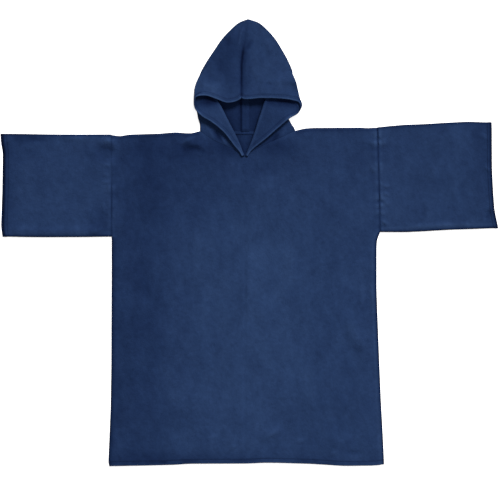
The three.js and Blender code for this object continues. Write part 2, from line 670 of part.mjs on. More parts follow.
// The seam between the halves, as seen from above
const asLine = (points) => [...points.map(([across, up]) => ({ across, up })), CROWN];
const BACK_SEAM = asLine(SEAM_LEVELS.map((level) => level.back));
const TOP_SEAM = asLine(SEAM_LEVELS.filter((level) => level.top).map((level) => level.top));

// The middle surface of a hood half, with rows between the ones in the table
function hoodSurface(side) {
  const outward = side === 'left' ? -1 : 1;
  const { lapels, corner, pleats, tubes } = HOOD_ROWS[side];
  const levels = SEAM_LEVELS.values();
  const made = [
    neckRow(side),
    ...lapels.map((row, i) => lapelRow(row, levels.next().value, i / (lapels.length - 1))),
    pleatRow(corner, levels.next().value, true),
    ...pleats.map((row) => pleatRow(row, levels.next().value, false)),
    ...tubes.map((row) => tubeRow(row, levels.next().value)),
  ];
  made.push(crownRow(made[0].length));
  const steps = (made.length - 1) * HOOD_ROW_STEPS;
  const columns = made[0].map((_, j) => new THREE.CatmullRomCurve3(made.map((row) => row[j])));
  const surface = along(steps).map((f) => columns.map((curve) => curve.getPoint(f)));
  const firstTopRow = (made.length - 1 - tubes.length) * HOOD_ROW_STEPS;
  const putOnSeam = (p, line) => p.setX(lookUp(line, 'up', p.y, 'across') + outward * HALF_GAP);
  surface.forEach((row, i) => {
    putOnSeam(row[0], BACK_SEAM);
    if (i >= firstTopRow) putOnSeam(row[row.length - 1], TOP_SEAM);
    if (i === steps) row.forEach((p) => p.setX(CROWN.across + outward * HALF_GAP));
  });
  return { surface, firstTopRow };
}

// At every point of a sheet, the sum of the directions that the four patches around it face
function sheetNormals(surface, outward) {
  const normals = surface.map((row) => row.map(() => new THREE.Vector3()));
  for (let i = 0; i < surface.length - 1; i += 1) {
    for (let j = 0; j < surface[0].length - 1; j += 1) {
      const rising = surface[i + 1][j + 1].clone().sub(surface[i][j]);
      const falling = surface[i + 1][j].clone().sub(surface[i][j + 1]);
      const facing = rising.cross(falling).multiplyScalar(-outward).normalize();
      [[i, j], [i + 1, j], [i, j + 1], [i + 1, j + 1]].forEach(([k, l]) => normals[k][l].add(facing));
    }
  }
  return normals;
}

// Outer and inner points of a sheet, half the cloth's thickness either side of its middle surface. On a seam
// they are in the seam's own plane, so that the two halves stay apart.
function thicken({ surface, firstTopRow }, outward) {
  const [rows, columns] = [surface.length, surface[0].length];
  const near = (value, count) => Math.min(Math.max(value, 0), count - 1);
  const normals = sheetNormals(surface, outward);
  normals.forEach((row, i) => row.forEach((normal, j) => {
    const up = surface[near(i + 1, rows)][j].clone().sub(surface[near(i - 1, rows)][j]);
    const on = surface[i][near(j + 1, columns)].clone().sub(surface[i][near(j - 1, columns)]);
    if (i === rows - 1) normal.set(0, on.z, -on.y);
    else if (i === 0) normal.setY(0);
    else if (j === 0) normal.set(0, up.z, -up.y);
    else if (j === columns - 1 && i >= firstTopRow) normal.set(0, -up.z, up.y);
    normal.normalize();
  }));
  return [HALF_CLOTH, -HALF_CLOTH].map((half) => (
    surface.map((row, i) => row.map((p, j) => {
      const moved = p.clone().addScaledVector(normals[i][j], half);
      return moved.setZ(Math.max(moved.z, 0));
    }))
  ));
}

function hoodHalf(side) {
  const outward = side === 'left' ? -1 : 1;
  const [outer, inner] = thicken(hoodSurface(side), outward);
  if (outward > 0) {
    outer.forEach((row) => row.reverse());
    inner.forEach((row) => row.reverse());
  }
  return piece(`hood_${side}`, clothSolid(outer, inner, false));
}

const poncho = new THREE.Group();
poncho.add(backPanel(), frontPanel(), sleeve('left'), sleeve('right'), hoodHalf('left'), hoodHalf('right'));

const box = new THREE.Box3().setFromObject(poncho);
const middle = box.getCenter(new THREE.Vector3());
poncho.position.set(-middle.x, -middle.y, 0);
poncho.updateMatrixWorld(true);

export default poncho;
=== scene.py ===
"""Hooded bath poncho of navy microfibre towelling, laid out flat and seen from straight above.

Every piece of cloth is a closed shell between two grids of points. Sizes and tables are in millimetres of the
garment itself: x across from the middle of the neck, y up from the hem to the tip of the hood, and z up from
the surface that it lies on. The garment's place in the shared frame turns them into metres.
"""

import logging
import math
from dataclasses import dataclass
from enum import Enum
from typing import NamedTuple

import bpy
import numpy as np
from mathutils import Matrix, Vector


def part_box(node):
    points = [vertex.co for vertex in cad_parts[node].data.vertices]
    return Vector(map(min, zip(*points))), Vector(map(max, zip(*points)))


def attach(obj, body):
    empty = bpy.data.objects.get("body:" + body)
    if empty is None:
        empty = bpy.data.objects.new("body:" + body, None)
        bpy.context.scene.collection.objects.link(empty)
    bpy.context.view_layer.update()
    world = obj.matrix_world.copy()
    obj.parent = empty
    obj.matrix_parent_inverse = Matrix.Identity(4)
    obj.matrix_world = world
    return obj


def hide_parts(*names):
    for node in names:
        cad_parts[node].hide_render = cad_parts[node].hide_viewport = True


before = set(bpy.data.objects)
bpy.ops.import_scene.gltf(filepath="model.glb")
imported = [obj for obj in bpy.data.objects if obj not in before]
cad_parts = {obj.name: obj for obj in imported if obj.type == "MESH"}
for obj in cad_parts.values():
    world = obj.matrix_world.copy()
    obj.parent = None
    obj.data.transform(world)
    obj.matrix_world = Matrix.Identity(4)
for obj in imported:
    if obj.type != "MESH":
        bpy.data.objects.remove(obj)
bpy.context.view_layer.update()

LOG = logging.getLogger("poncho")

Pair = tuple[float, float]
Triple = tuple[float, float, float]

MM = 0.001
CLOTH = 2.5
HALF_CLOTH = CLOTH / 2
SEAM_GAP = 0.3
JOIN = 0.02
NECK_JOIN = 0.04
AIR = 1.2
FLOOR_MID = HALF_CLOTH
FRONT_MID = CLOTH + AIR + HALF_CLOTH
LOWEST_FRONT = CLOTH + SEAM_GAP + HALF_CLOTH
THIN = 0.12
FAR = 999.0
THREAD_RISE = 0.22
ARMHOLE_REACH = 60
NECK_DIP = 0.12


class Side(Enum):
    """The side of the picture that a piece is on, with the sign of its way out from the middle."""

    LEFT = -1
    RIGHT = 1

    @property
    def label(self) -> str:
        """The word used in the names of pieces."""
        return self.name.lower()


def mix(a: np.ndarray | float, b: np.ndarray | float, share: np.ndarray | float) -> np.ndarray | float:
    """Go a share of the way from one value to another.

    Args:
        a: Value at share 0.
        b: Value at share 1.
        share: How far to go.

    Returns:
        The value between them.
    """
    return a + (b - a) * share


def quarter_round(share: np.ndarray | float) -> np.ndarray:
    """Rise from 0 to 1 as a quarter of a circle does.

    Args:
        share: Distance in from the edge, as a share of the rounding's width.

    Returns:
        Height as a share of the full height.
    """
    return np.sqrt(np.maximum(0.0, 1 - (1 - np.clip(share, 0, 1)) ** 2))


def ease(share: np.ndarray | float) -> np.ndarray:
    """Rise from 0 to 1 with a soft start and end.

    Args:
        share: Where between the start and the end, limited to 0 and 1.

    Returns:
        The softened share.
    """
    held = np.clip(share, 0, 1)
    return held * held * (3 - 2 * held)


def bell(distance: np.ndarray | float, width: float) -> np.ndarray:
    """Fall from 1 at no distance towards 0.

    Args:
        distance: How far away.
        width: Where it has fallen to about a third.

    Returns:
        The height of the bell.
    """
    return np.exp(-((np.asarray(distance) / width) ** 2))


class Line:
    """One column of a table against another: straight between the rows, with softened corners."""

    def __init__(self, given: np.ndarray, wanted: np.ndarray, soften: float) -> None:
        """Keep the rows in rising order, and carry the end slopes on a little, so that the ends stay.

        Args:
            given: The values that are looked up.
            wanted: What they give.
            soften: How far to each side of a corner it is softened.
        """
        order = np.argsort(given, kind="stable")
        x, y = given[order], wanted[order]
        if soften:
            before = y[0] - (y[1] - y[0]) / (x[1] - x[0]) * soften
            after = y[-1] + (y[-1] - y[-2]) / (x[-1] - x[-2]) * soften
            x = np.concatenate([[x[0] - soften], x, [x[-1] + soften]])
            y = np.concatenate([[before], y, [after]])
        self.x, self.y, self.soften = x, y, soften

    def at(self, value: np.ndarray | float) -> np.ndarray:
        """Look a value up.

        Args:
            value: One value or an array of them.

        Returns:
            What they give.
        """
        if not self.soften:
            return np.interp(value, self.x, self.y)
        shifts = self.soften * np.array([-1, -0.5, 0, 0.5, 1])
        return sum(np.interp(np.asarray(value) + shift, self.x, self.y) for shift in shifts) / len(shifts)


@dataclass(frozen=True)
class Table:
    """Rows of numbers under named columns."""

    columns: tuple[str, ...]
    rows: tuple[tuple[float, ...], ...]

    def column(self, name: str) -> np.ndarray:
        """Give one column's numbers, from the first row to the last."""
        return np.array([row[self.columns.index(name)] for row in self.rows], dtype=float)

    def line(self, given: str, wanted: str, soften: float = 0.0) -> Line:
        """Give one column against another, as a line with corners softened by that many millimetres."""
        return Line(self.column(given), self.column(wanted), soften)


LEFT_SIDE = Table(
    ("up", "across"),
    ((0, -405), (12, -408), (78, -405), (174, -401), (300, -399), (600, -398), (1030, -399)),
)
RIGHT_SIDE = Table(
    ("up", "across"),
    (
        (0, 419), (48, 417), (126, 413), (198, 409), (342, 403), (486, 397.5), (534, 396),
        (654, 396), (678, 397.5), (701, 406.5), (1016, 398.4),
    ),
)
HEM = Table(
    ("across", "up"),
    (
        (-420, 0), (-302, 2), (-206, 4.5), (-170, 7.5), (10, 8), (58, 10.5), (106, 10), (202, 7),
        (298, 1), (390, 2), (420, 5.5),
    ),
)
SHOULDERS = Table(
    ("across", "up"),
    (
        (-410, 994.5), (-374, 989), (-348, 994), (-254, 997), (-206, 1001), (-181, 998.5),
        (-157, 998), (-144, 1002), (-132, 1004.5), (151, 1005), (178, 1012), (202, 1014),
        (346, 1015), (370, 1013.5), (410, 1015.5),
    ),
)
FRONT_NECK = {
    Side.LEFT: Table(
        ("across", "up"), ((-132, 1004.5), (-98, 979), (-58, 961), (-28, 947), (-9, 935), (1, 928.5))
    ),
    Side.RIGHT: Table(
        ("across", "up"), ((151, 1005), (112, 986), (72, 969), (38, 951), (12, 935), (1, 928.5))
    ),
}
BACK_NECK = Table(("across", "up"), ((-132, 1004.5), (-70, 999), (-9, 997.5), (80, 999), (151, 1005)))
NECK_LEFT, V_ACROSS, NECK_RIGHT = -132.0, 1.0, 151.0
UNDERARM = {Side.LEFT: 687.0, Side.RIGHT: 701.0}
# Metres from the middle of the neck to the body's left edge, and from the hem to the tip of the hood.
BODY_LEFT, HOOD_TIP = 0.408, 1.3415
SLEEVE_LEVELS = np.linspace(640, 1080, 120)


@dataclass(frozen=True)
class SleeveCut:
    """A sleeve's outline: its armhole, that seam's depth, its long edges by how far out, and its cuff."""

    armhole: Table
    seam: Table
    stations: Table
    cuff: Table
    upper_set_back: float


SLEEVES = {
    Side.LEFT: SleeveCut(
        armhole=Table(("up", "across"), ((687, -399), (994.5, -399))),
        seam=Table(
            ("up", "deep"),
            ((690, 1.2), (730, 0.7), (765, 1.3), (830, 1), (860, 0.1), (910, 0.1), (960, 0.8), (990, 0.6)),
        ),
        stations=Table(
            ("out", "lower", "upper"),
            (
                (0, 687, 994.5), (30, 686.8, 994.5), (80, 686, 994.2), (140, 685.8, 994.3),
                (200, 685.5, 995), (262, 686, 996.2), (306, 687, 996.5), (340, 687, 996.5),
            ),
        ),
        cuff=Table(
            ("up", "across"),
            ((688, -726), (720, -730), (822, -726.5), (894, -725.5), (942, -725), (968, -730), (994, -732)),
        ),
        upper_set_back=6,
    ),
    Side.RIGHT: SleeveCut(
        armhole=Table(("up", "across"), ((701, 406.5), (1016, 398.4))),
        seam=Table(("up", "deep"), ((705, 1.8), (760, 1.5), (820, 1.7), (880, 1.4), (940, 1.8), (1010, 1.9))),
        stations=Table(
            ("out", "lower", "upper"),
            (
                (0, 701, 1016), (30, 700.8, 1019), (80, 700.8, 1023.5), (140, 704, 1025.5),
                (205, 708, 1029.5), (275, 710.2, 1033), (326, 712.5, 1031), (370, 712.5, 1031),
            ),
        ),
        cuff=Table(
            ("up", "across"),
            (
                (714, 761), (726, 759), (750, 753.5), (774, 749.5), (822, 746), (894, 742.5),
                (1014, 742), (1029, 741.5),
            ),
        ),
        upper_set_back=3,
    ),
}


@dataclass(frozen=True)
class Place:
    """Where the garment lies in the shared frame, in metres."""

    across: float
    up: float

    @classmethod
    def of_frame(cls) -> "Place":
        """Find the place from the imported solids: the body's left edge and the tip of the hood."""
        return cls(across=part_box("back_panel")[0][0] + BODY_LEFT, up=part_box("hood_left")[1][1] - HOOD_TIP)

    def metres(self, points: np.ndarray) -> np.ndarray:
        """Turn the garment's millimetres into metres in the frame.

        Args:
            points: Points as rows of x, y and z.

        Returns:
            The same points in the frame.
        """
        return np.asarray(points, dtype=float) * MM + np.array([self.across, self.up, 0.0])


@dataclass(frozen=True)
class Ripple:
    """Soft, repeatable unevenness of cloth, like low hills on a lattice of set cell sizes."""

    seed: int
    across: float
    up: float
    high: float
    turned: float = 0.0

    def at(self, x: np.ndarray, y: np.ndarray) -> np.ndarray:
        """Give its height at points.

        Args:
            x: How far across they are.
            y: How far up they are.

        Returns:
            Heights from about -high to high.
        """
        lattice = np.random.default_rng(self.seed).uniform(-1, 1, (64, 64))
        angle = math.radians(self.turned)
        u = (x * math.cos(angle) + y * math.sin(angle)) / self.across
        v = (y * math.cos(angle) - x * math.sin(angle)) / self.up
        i, j = np.floor(u).astype(int), np.floor(v).astype(int)
        f, g = ease(u - i), ease(v - j)
        near, beside, above, across = (
            lattice[(i + a) % 64, (j + b) % 64] for a, b in ((0, 0), (1, 0), (0, 1), (1, 1))
        )
        return self.high * mix(mix(near, beside, f), mix(above, across, f), g)


@dataclass(frozen=True)
class Crease:
    """A ridge of the cloth along a gentle curve, or a trough if it is below 0, that runs out at its ends."""

    start: Pair
    middle: Pair
    end: Pair
    wide: float
    high: float
    run_out: float = 0.35

    def at(self, x: np.ndarray, y: np.ndarray) -> np.ndarray:
        """Give its height at points.

        Args:
            x: How far across they are.
            y: How far up they are.

        Returns:
            Heights, 0 away from the crease.
        """
        start, middle, end = (np.array(p, dtype=float) for p in (self.start, self.middle, self.end))
        control = 2 * middle - (start + end) / 2
        t = np.linspace(0, 1, 13)[:, None]
        path = (1 - t) ** 2 * start + 2 * t * (1 - t) * control + t**2 * end
        reach = 2.6 * self.wide
        low, high = path.min(axis=0) - reach, path.max(axis=0) + reach
        near = (x > low[0]) & (x < high[0]) & (y > low[1]) & (y < high[1])
        result = np.zeros(np.shape(x))
        if not near.any():
            return result
        px, py = x[near], y[near]
        nearest, where = np.full(px.shape, 1e12), np.zeros(px.shape)
        for i in range(len(path) - 1):
            a, d = path[i], path[i + 1] - path[i]
            f = np.clip(((px - a[0]) * d[0] + (py - a[1]) * d[1]) / (d @ d), 0, 1)
            away = (px - a[0] - f * d[0]) ** 2 + (py - a[1] - f * d[1]) ** 2
            closer = away < nearest
            nearest[closer] = away[closer]
            where[closer] = ((i + f) / (len(path) - 1))[closer]
        fading = ease(where / self.run_out) * ease((1 - where) / self.run_out)
        result[near] = self.high * np.exp(-nearest / self.wide**2) * fading
        return result


def creased(*rows: tuple[Pair | float, ...]) -> tuple[Crease, ...]:
    """Make creases from rows of start, middle, end, wide, high and, where it isn't the usual, run_out."""
    return tuple(Crease(*row) for row in rows)


class NapAndShadePatch(NamedTuple):
    """A broad patch where the cloth is lighter or darker: some are the nap lying another way, others painted
    shade, shadow or light.
    """

    across: float
    up: float
    wide: float
    tall: float
    shade: float


def nap_and_shade_patches(*rows: tuple[float, ...]) -> tuple[NapAndShadePatch, ...]:
    """Make patches from rows of across, up, wide, tall and shade."""
    return tuple(NapAndShadePatch(*row) for row in rows)


def nap_and_painted_shade(patches: tuple[NapAndShadePatch, ...], x: np.ndarray, y: np.ndarray) -> np.ndarray:
    """Add up how much lighter or darker the patches make the cloth, with their painted shade and light.

    Args:
        patches: The patches.
        x: How far across the points are.
        y: How far up they are.

    Returns:
        What to add to the tone.
    """
    total = np.zeros(np.shape(x))
    for patch in patches:
        u, v = (x - patch.across) / patch.wide, (y - patch.up) / patch.tall
        total = total + patch.shade * np.exp(-((u * u + v * v) ** 1.5))
    return total


class Outline:
    """The garment's edges as seen from above, as lines to look values up on."""

    def __init__(self) -> None:
        """Make the lines from the tables."""
        self.sides = {
            Side.LEFT: LEFT_SIDE.line("up", "across", 6),
            Side.RIGHT: RIGHT_SIDE.line("up", "across", 6),
        }
        self.hem = HEM.line("across", "up", 14)
        self.shoulders = SHOULDERS.line("across", "up", 7)
        self.front_neck = {side: table.line("across", "up", 7) for side, table in FRONT_NECK.items()}
        self.back_neck = BACK_NECK.line("across", "up", 10)
        self.armholes = {side: cut.armhole.line("up", "across", 1) for side, cut in SLEEVES.items()}
        self.cuffs = {side: cut.cuff.line("up", "across", 5) for side, cut in SLEEVES.items()}
        self.seam_depths = {side: cut.seam.line("up", "deep", 12) for side, cut in SLEEVES.items()}
        self.lower = {side: cut.stations.line("out", "lower", 12) for side, cut in SLEEVES.items()}
        self.upper = {side: cut.stations.line("out", "upper", 12) for side, cut in SLEEVES.items()}

    def on_side(self, lines: dict[Side, Line], x: np.ndarray, value: np.ndarray) -> np.ndarray:
        """Look values up on the line of the side that each point is on."""
        return np.where(x < V_ACROSS, *(lines[side].at(value) for side in Side))

    def side_at(self, x: np.ndarray, y: np.ndarray) -> np.ndarray:
        """Give the body's side edge level with points, on the side that each point is on."""
        return self.on_side(self.sides, x, y)

    def from_armhole(self, x: np.ndarray, y: np.ndarray) -> np.ndarray:
        """Give how far out from the armhole seam points are, below 0 on the body."""
        left, right = self.armholes[Side.LEFT].at(y) - x, x - self.armholes[Side.RIGHT].at(y)
        return np.where(x < V_ACROSS, left, right)

    def seam_depth(self, x: np.ndarray, y: np.ndarray) -> np.ndarray:
        """Give how deep the surface dips in mm at the nearest armhole seam, or a little at the neck."""
        near = np.abs(self.from_armhole(x, y)) < ARMHOLE_REACH
        return np.where(near, self.on_side(self.seam_depths, x, y), NECK_DIP)

    def armhole_painted_shade(self, x: np.ndarray, y: np.ndarray, distance: np.ndarray) -> np.ndarray:
        """Give how much of its tone the cloth keeps near an armhole seam, with painted shade in the seam's
        groove and a painted highlight beside it.

        Args:
            x: How far across the points are.
            y: How far up they are.
            distance: How far they are from the seam.

        Returns:
            The shares.
        """
        depth = self.seam_depth(x, y)
        return 1 - 0.24 * depth * bell(distance, 3.2) + 0.09 * bell(distance - 8, 4) * depth

    def puff_share(self, x: np.ndarray, y: np.ndarray, reach: float) -> np.ndarray:
        """Give how far the air between the layers has built up at points, from 0 at an edge to 1 inside.

        Args:
            x: How far across the points are.
            y: How far up they are.
            reach: How far in from an edge it takes.

        Returns:
            The shares.
        """

        def build(distance: np.ndarray) -> np.ndarray:
            """Rise to 1 over the reach."""
            return np.sin(np.clip(distance / reach, 0, 1) * math.pi / 2)

        out = self.from_armhole(x, y)
        underarm = np.where(x < V_ACROSS, *UNDERARM.values())
        in_side = np.maximum(0, np.sign(V_ACROSS - x) * (x - self.side_at(x, y)))
        beyond = np.hypot(in_side, np.maximum(0, y - underarm))
        body = build(beyond) * build(y - self.hem.at(x)) * build(self.shoulders.at(x) - y)
        lower, upper = (self.on_side(lines, x, out) for lines in (self.lower, self.upper))
        sleeve = build(y - lower) * build(upper - y)
        return np.where(out > 0, sleeve, body)


NECK_PUCKERS = creased(
    ((-121, 1033), (-114, 1017), (-107, 1000), 4.5, 1.1),
    ((-106, 1010), (-100, 995), (-92, 979), 5, 1.2),
    ((-90, 1010), (-80, 991), (-67, 969), 6.5, -1.3),
    ((-70, 988), (-61, 973), (-51, 960), 5, 1.0),
    ((126, 1020), (118, 1002), (104, 984), 6, 1.0),
    ((104, 1000), (92, 984), (80, 968), 6, -0.9),
)


@dataclass(frozen=True)
class Relief:
    """Height of the upper cloth over the body and both sleeves, which run on into each other."""

    outline: Outline
    puff: float = 1.6
    puff_reach: float = 60
    folds: tuple[Crease, ...] = creased(
        ((-450, 974), (-412, 970), (-375, 962), 13, 2.4, 0.3),
        ((-452, 938), (-405, 936), (-355, 930), 17, -2.4, 0.3),
        ((-432, 985), (-410, 976), (-392, 972), 6, 1.6),
        ((-185, 976), (-152, 968), (-120, 955), 15, 3.4, 0.3),
        ((-195, 944), (-160, 940), (-125, 934), 18, -2.2, 0.3),
        ((388, 990), (392, 935), (396, 880), 14, 2.6),
        ((-712, 708), (-560, 704), (-412, 708), 13, 2.6, 0.12),
        ((-48, 600), (-44, 400), (-36, 190), 26, 2.0),
        ((60, 560), (52, 400), (40, 260), 28, 1.6),
        ((330, 470), (338, 400), (338, 330), 24, 2.8),
        ((368, 590), (370, 515), (366, 440), 14, -1.8),
        ((40, 78), (84, 100), (120, 120), 18, 2.4),
        ((250, 60), (290, 76), (330, 84), 22, 2.2),
        ((-300, 520), (-322, 380), (-330, 240), 30, 1.6),
        ((-120, 840), (20, 826), (160, 820), 34, 1.4),
    )
    creases: tuple[Crease, ...] = creased(
        ((-200, 962), (-172, 976), (-140, 993), 5.5, 1.8),
        ((-198, 952), (-168, 950), (-136, 956), 7, -1.6),
        ((-150, 958), (-132, 946), (-112, 941), 6, -1.3),
        ((-712, 962), (-708, 980), (-700, 992), 10, 2.0),
        ((-660, 984), (-618, 980), (-575, 973), 7, -1.6),
        ((-560, 985), (-500, 982), (-450, 983), 9, 1.3),
        ((-437, 906), (-412, 902), (-401, 900), 4.5, 1.1, 0.4),
        ((-431, 876), (-412, 873), (-401, 872), 4, 1.0, 0.4),
        ((-436, 851), (-414, 850), (-401, 849), 4.5, 1.2, 0.4),
        ((-424, 800), (-420, 775), (-418, 752), 5, 1.0),
        ((-422, 716), (-440, 706), (-462, 702), 6, 1.2),
        ((372, 900), (384, 892), (396, 876), 4.5, 1.7, 0.4),
        ((366, 886), (378, 876), (388, 866), 4, -1.0, 0.4),
        ((372, 972), (376, 955), (380, 938), 6, -1.6),
        ((414, 986), (418, 972), (424, 958), 5, 1.5),
        ((412, 846), (424, 838), (440, 842), 4.5, 1.7, 0.4),
        ((414, 818), (426, 814), (440, 806), 4, 1.4, 0.4),
        ((412, 800), (424, 790), (436, 776), 5, 1.3, 0.4),
        ((412, 742), (420, 730), (436, 722), 5, 1.9, 0.4),
        ((476, 716), (580, 722), (700, 726), 6, 1.4, 0.2),
        ((721, 738), (730, 752), (738, 774), 7, -2.0),
        ((716, 900), (728, 892), (738, 880), 6, 1.3),
        ((700, 1000), (716, 990), (730, 978), 7, 1.1),
        ((560, 905), (566, 880), (560, 850), 7, 0.8),
        ((640, 860), (630, 830), (636, 800), 8, 0.8),
        ((540, 790), (536, 760), (540, 735), 7, -0.8),
        ((-650, 770), (-630, 765), (-610, 775), 8, 0.7),
        ((-560, 760), (-545, 768), (-528, 775), 7, 0.9),
        ((378, 570), (382, 505), (388, 440), 6, 1.4),
        ((350, 580), (354, 520), (352, 460), 8, 0.9),
        ((402, 318), (407, 170), (410, 24), 5, 1.1, 0.15),
        ((302, 440), (330, 392), (372, 336), 16, 1.2),
        ((66, 88), (86, 100), (108, 118), 6, 1.5),
        ((150, 70), (168, 78), (186, 82), 6, 1.0),
        ((-112, 80), (-100, 87), (-86, 96), 6, 1.0),
        ((-44, 50), (-34, 57), (-22, 60), 6, 0.9),
        ((296, 44), (326, 40), (358, 42), 8, -1.4),
        ((250, 34), (266, 40), (282, 48), 6, 1.0),
        ((-40, 918), (-36, 900), (-38, 884), 4, 0.8),
        ((-20, 914), (-18, 896), (-20, 878), 3.5, 0.8),
        ((14, 916), (18, 898), (18, 880), 3.5, 0.8),
        ((40, 924), (44, 904), (42, 888), 4, 0.8),
        ((-330, 640), (-300, 560), (-290, 470), 22, -0.9),
        ((-250, 330), (-220, 250), (-210, 150), 22, 1.0),
        ((120, 700), (130, 600), (120, 520), 20, 0.8),
        ((-150, 720), (-140, 640), (-150, 540), 18, 0.8),
        ((180, 330), (190, 240), (180, 160), 20, 0.9),
        ((-380, 300), (-376, 200), (-380, 100), 10, -0.9),
    )
    ripples: tuple[Ripple, ...] = (
        Ripple(11, 92, 140, 1.7, 8),
        Ripple(23, 38, 58, 0.9, -6),
        Ripple(37, 15, 24, 0.34, 4),
        Ripple(41, 9, 36, 0.12),
    )
    mottling: tuple[Ripple, ...] = (Ripple(97, 15, 19, 0.05, 20), Ripple(99, 34, 44, 0.04, -15))
    depth: float = 1.6
    pucker: float = 1.4

    def mid(self, x: np.ndarray, y: np.ndarray) -> np.ndarray:
        """Give the height of the middle of the upper cloth.

        Args:
            x: How far across the points are.
            y: How far up they are.

        Returns:
            Heights above the surface that the garment lies on.
        """
        share = self.outline.puff_share(x, y, self.puff_reach)
        height = FRONT_MID + self.puff * share
        for crease in (*self.folds, *self.creases, *NECK_PUCKERS):
            height = height + crease.at(x, y) * self.depth
        calm = 0.25 + 0.75 * ease(share)
        for ripple in self.ripples:
            height = height + ripple.at(x, y) * calm
        height = height + self.armhole_puckers(x, y)
        soft = height - LOWEST_FRONT
        return LOWEST_FRONT + np.where(soft > 0.4, soft, 0.4 * np.exp(np.minimum(soft, 0.4) / 0.4 - 1))

    def crease_shade_and_mottling(self, x: np.ndarray, y: np.ndarray) -> np.ndarray:
        """Give the painted shading of the creases and the puckers, a painted highlight on their ridges and
        painted shade in their valleys, with the cloth's own mottling.

        Args:
            x: How far across the points are.
            y: How far up they are.

        Returns:
            What to add to the tone.
        """
        small = sum(crease.at(x, y) for crease in self.creases)
        # Painted shading from the small creases, the neck's puckers and the gathers at the armholes.
        ridges = np.clip(0.11 * small + 0.2 * sum(pucker.at(x, y) for pucker in NECK_PUCKERS), -0.4, 0.4)
        gathers = np.clip(0.16 * self.armhole_puckers(x, y), -0.2, 0.25)
        return ridges + gathers + sum(ripple.at(x, y) for ripple in self.mottling)

    def armhole_puckers(self, x: np.ndarray, y: np.ndarray) -> np.ndarray:
        """Give the small gathers that the stitching pulls up on both sides of an armhole.

        Args:
            x: How far across the points are.
            y: How far up they are.

        Returns:
            Heights, which alternate along the seam.
        """
        out = self.outline.from_armhole(x, y)
        away = np.abs(out)
        beside = (away / 5) * np.exp(1 - away / 5)
        along = Ripple(53, 400, 11, 1.0).at(x + 37 * np.sign(out), y)
        level = ease((y - 690) / 20) * ease((1020 - y) / 20)
        level = level * np.clip(self.outline.seam_depth(x, y), 0.35, 1.4)
        uneven = np.clip(0.75 + Ripple(57, 400, 44, 0.7).at(x, y), 0.2, 1.3)
        return self.pucker * along * beside * level * uneven


def hem_profile(distance: np.ndarray, band: float, puff: float = 0.45) -> tuple[np.ndarray, np.ndarray]:
    """Shape a hem that is turned on itself and stitched down.

    Args:
        distance: How far in from the folded edge.
        band: How far in the stitching is.
        puff: How much the turned cloth fills the hem, in mm.

    Returns:
        How full the cloth is at the folded edge, from a thin 0 to 1, and how much it stands out in mm.
    """
    nose = np.maximum(THIN, quarter_round(distance / 1.5))
    padding = puff * ease(distance / 3) * ease((band + 3 - distance) / 5)
    groove = 2.1 * puff * bell(distance - band, 1.35)
    return nose, padding - groove


def hem_painted_shade(distance: np.ndarray, band: float, glint: np.ndarray | float = 0.0) -> np.ndarray:
    """Give the painted shade and light along a hem: painted shade in the groove and where the fold rolls
    under, and a painted highlight, the glint, beside the fold.
    """
    return glint * bell(distance - 2.6, 2.4) - 0.22 * bell(distance - band, 1.6) - 0.25 * bell(distance, 1.2)


@dataclass(frozen=True)
class EdgeShade:
    """Painted shade along a sewn edge seen from above, dark where the cloth rolls under, with one more
    painted line further in: a highlight where line is above 0, a shade where it is below.
    """

    dark: float
    fade: float
    line: float = 0.0
    line_in: float = 10.0
    power: float = 1.0

    def tone(self, distance: np.ndarray) -> np.ndarray:
        """Give how much of its tone the cloth keeps near the edge, under the painted shade and line.

        Args:
            distance: How far in from the edge points are.

        Returns:
            The shares.
        """
        near = np.clip(distance, 0, FAR)
        rolled = np.exp(-((near / self.fade) ** self.power))
        return 1 - self.dark * rolled + self.line * bell(near - self.line_in, 3.5)


# Painted shade at the rolled edges, with a painted highlight line inside the right side and the sleeves'
# lower edges, and a painted shade line inside the shoulders.
SIDE_SHADES = {Side.LEFT: EdgeShade(0.86, 6.6), Side.RIGHT: EdgeShade(0.9, 5.2, 0.16, 12, 2)}
SHOULDER_SHADE = EdgeShade(0.7, 2.5, -0.3, 8)
SLEEVE_TOP_SHADE = EdgeShade(0.85, 4.4)
SLEEVE_LOW_SHADE = EdgeShade(0.92, 4.8, 0.2, 13, 2)
CUFF_SHADE = EdgeShade(0.85, 5.4, 0, 10, 2)
UNDER_SHADE = EdgeShade(0.55, 5.5)


@dataclass
class Shell:
    """A piece of cloth as two grids of points, with how light or dark the cloth is at each."""

    outer: np.ndarray
    inner: np.ndarray
    outer_tone: np.ndarray
    inner_tone: np.ndarray
    wraps: bool = False

    def faces(self) -> np.ndarray:
        """Join both grids, and their borders to each other.

        Returns:
            Four point numbers for each face.
        """
        rows, columns = self.outer.shape[:2]
        spans = columns if self.wraps else columns - 1
        numbers = np.arange(2 * rows * columns).reshape(2, rows, columns)
        here = numbers[:, :, np.arange(spans)]
        there = numbers[:, :, (np.arange(spans) + 1) % columns]
        quads = [
            np.stack([here[0, :-1], there[0, :-1], there[0, 1:], here[0, 1:]], axis=-1).reshape(-1, 4),
            np.stack([here[1, :-1], here[1, 1:], there[1, 1:], there[1, :-1]], axis=-1).reshape(-1, 4),
            np.stack([here[0, 0], here[1, 0], there[1, 0], there[0, 0]], axis=-1),
            np.stack([here[0, -1], there[0, -1], there[1, -1], here[1, -1]], axis=-1),
        ]
        if not self.wraps:
            low, high = numbers[:, :-1], numbers[:, 1:]
            quads.append(np.stack([low[0, :, 0], high[0, :, 0], high[1, :, 0], low[1, :, 0]], axis=-1))
            quads.append(np.stack([low[0, :, -1], low[1, :, -1], high[1, :, -1], high[0, :, -1]], axis=-1))
        return np.concatenate(quads)

    def make(self, name: str, place: Place) -> bpy.types.Object:
        """Make the mesh and its object.

        Args:
            name: The piece's name.
            place: Where the garment lies.

        Returns:
            The new object, with the tone kept on its points.
        """
        points = np.concatenate([self.outer.reshape(-1, 3), self.inner.reshape(-1, 3)])
        tones = np.concatenate([self.outer_tone.ravel(), self.inner_tone.ravel()])
        return make_object(name, place.metres(points), self.faces(), tones)


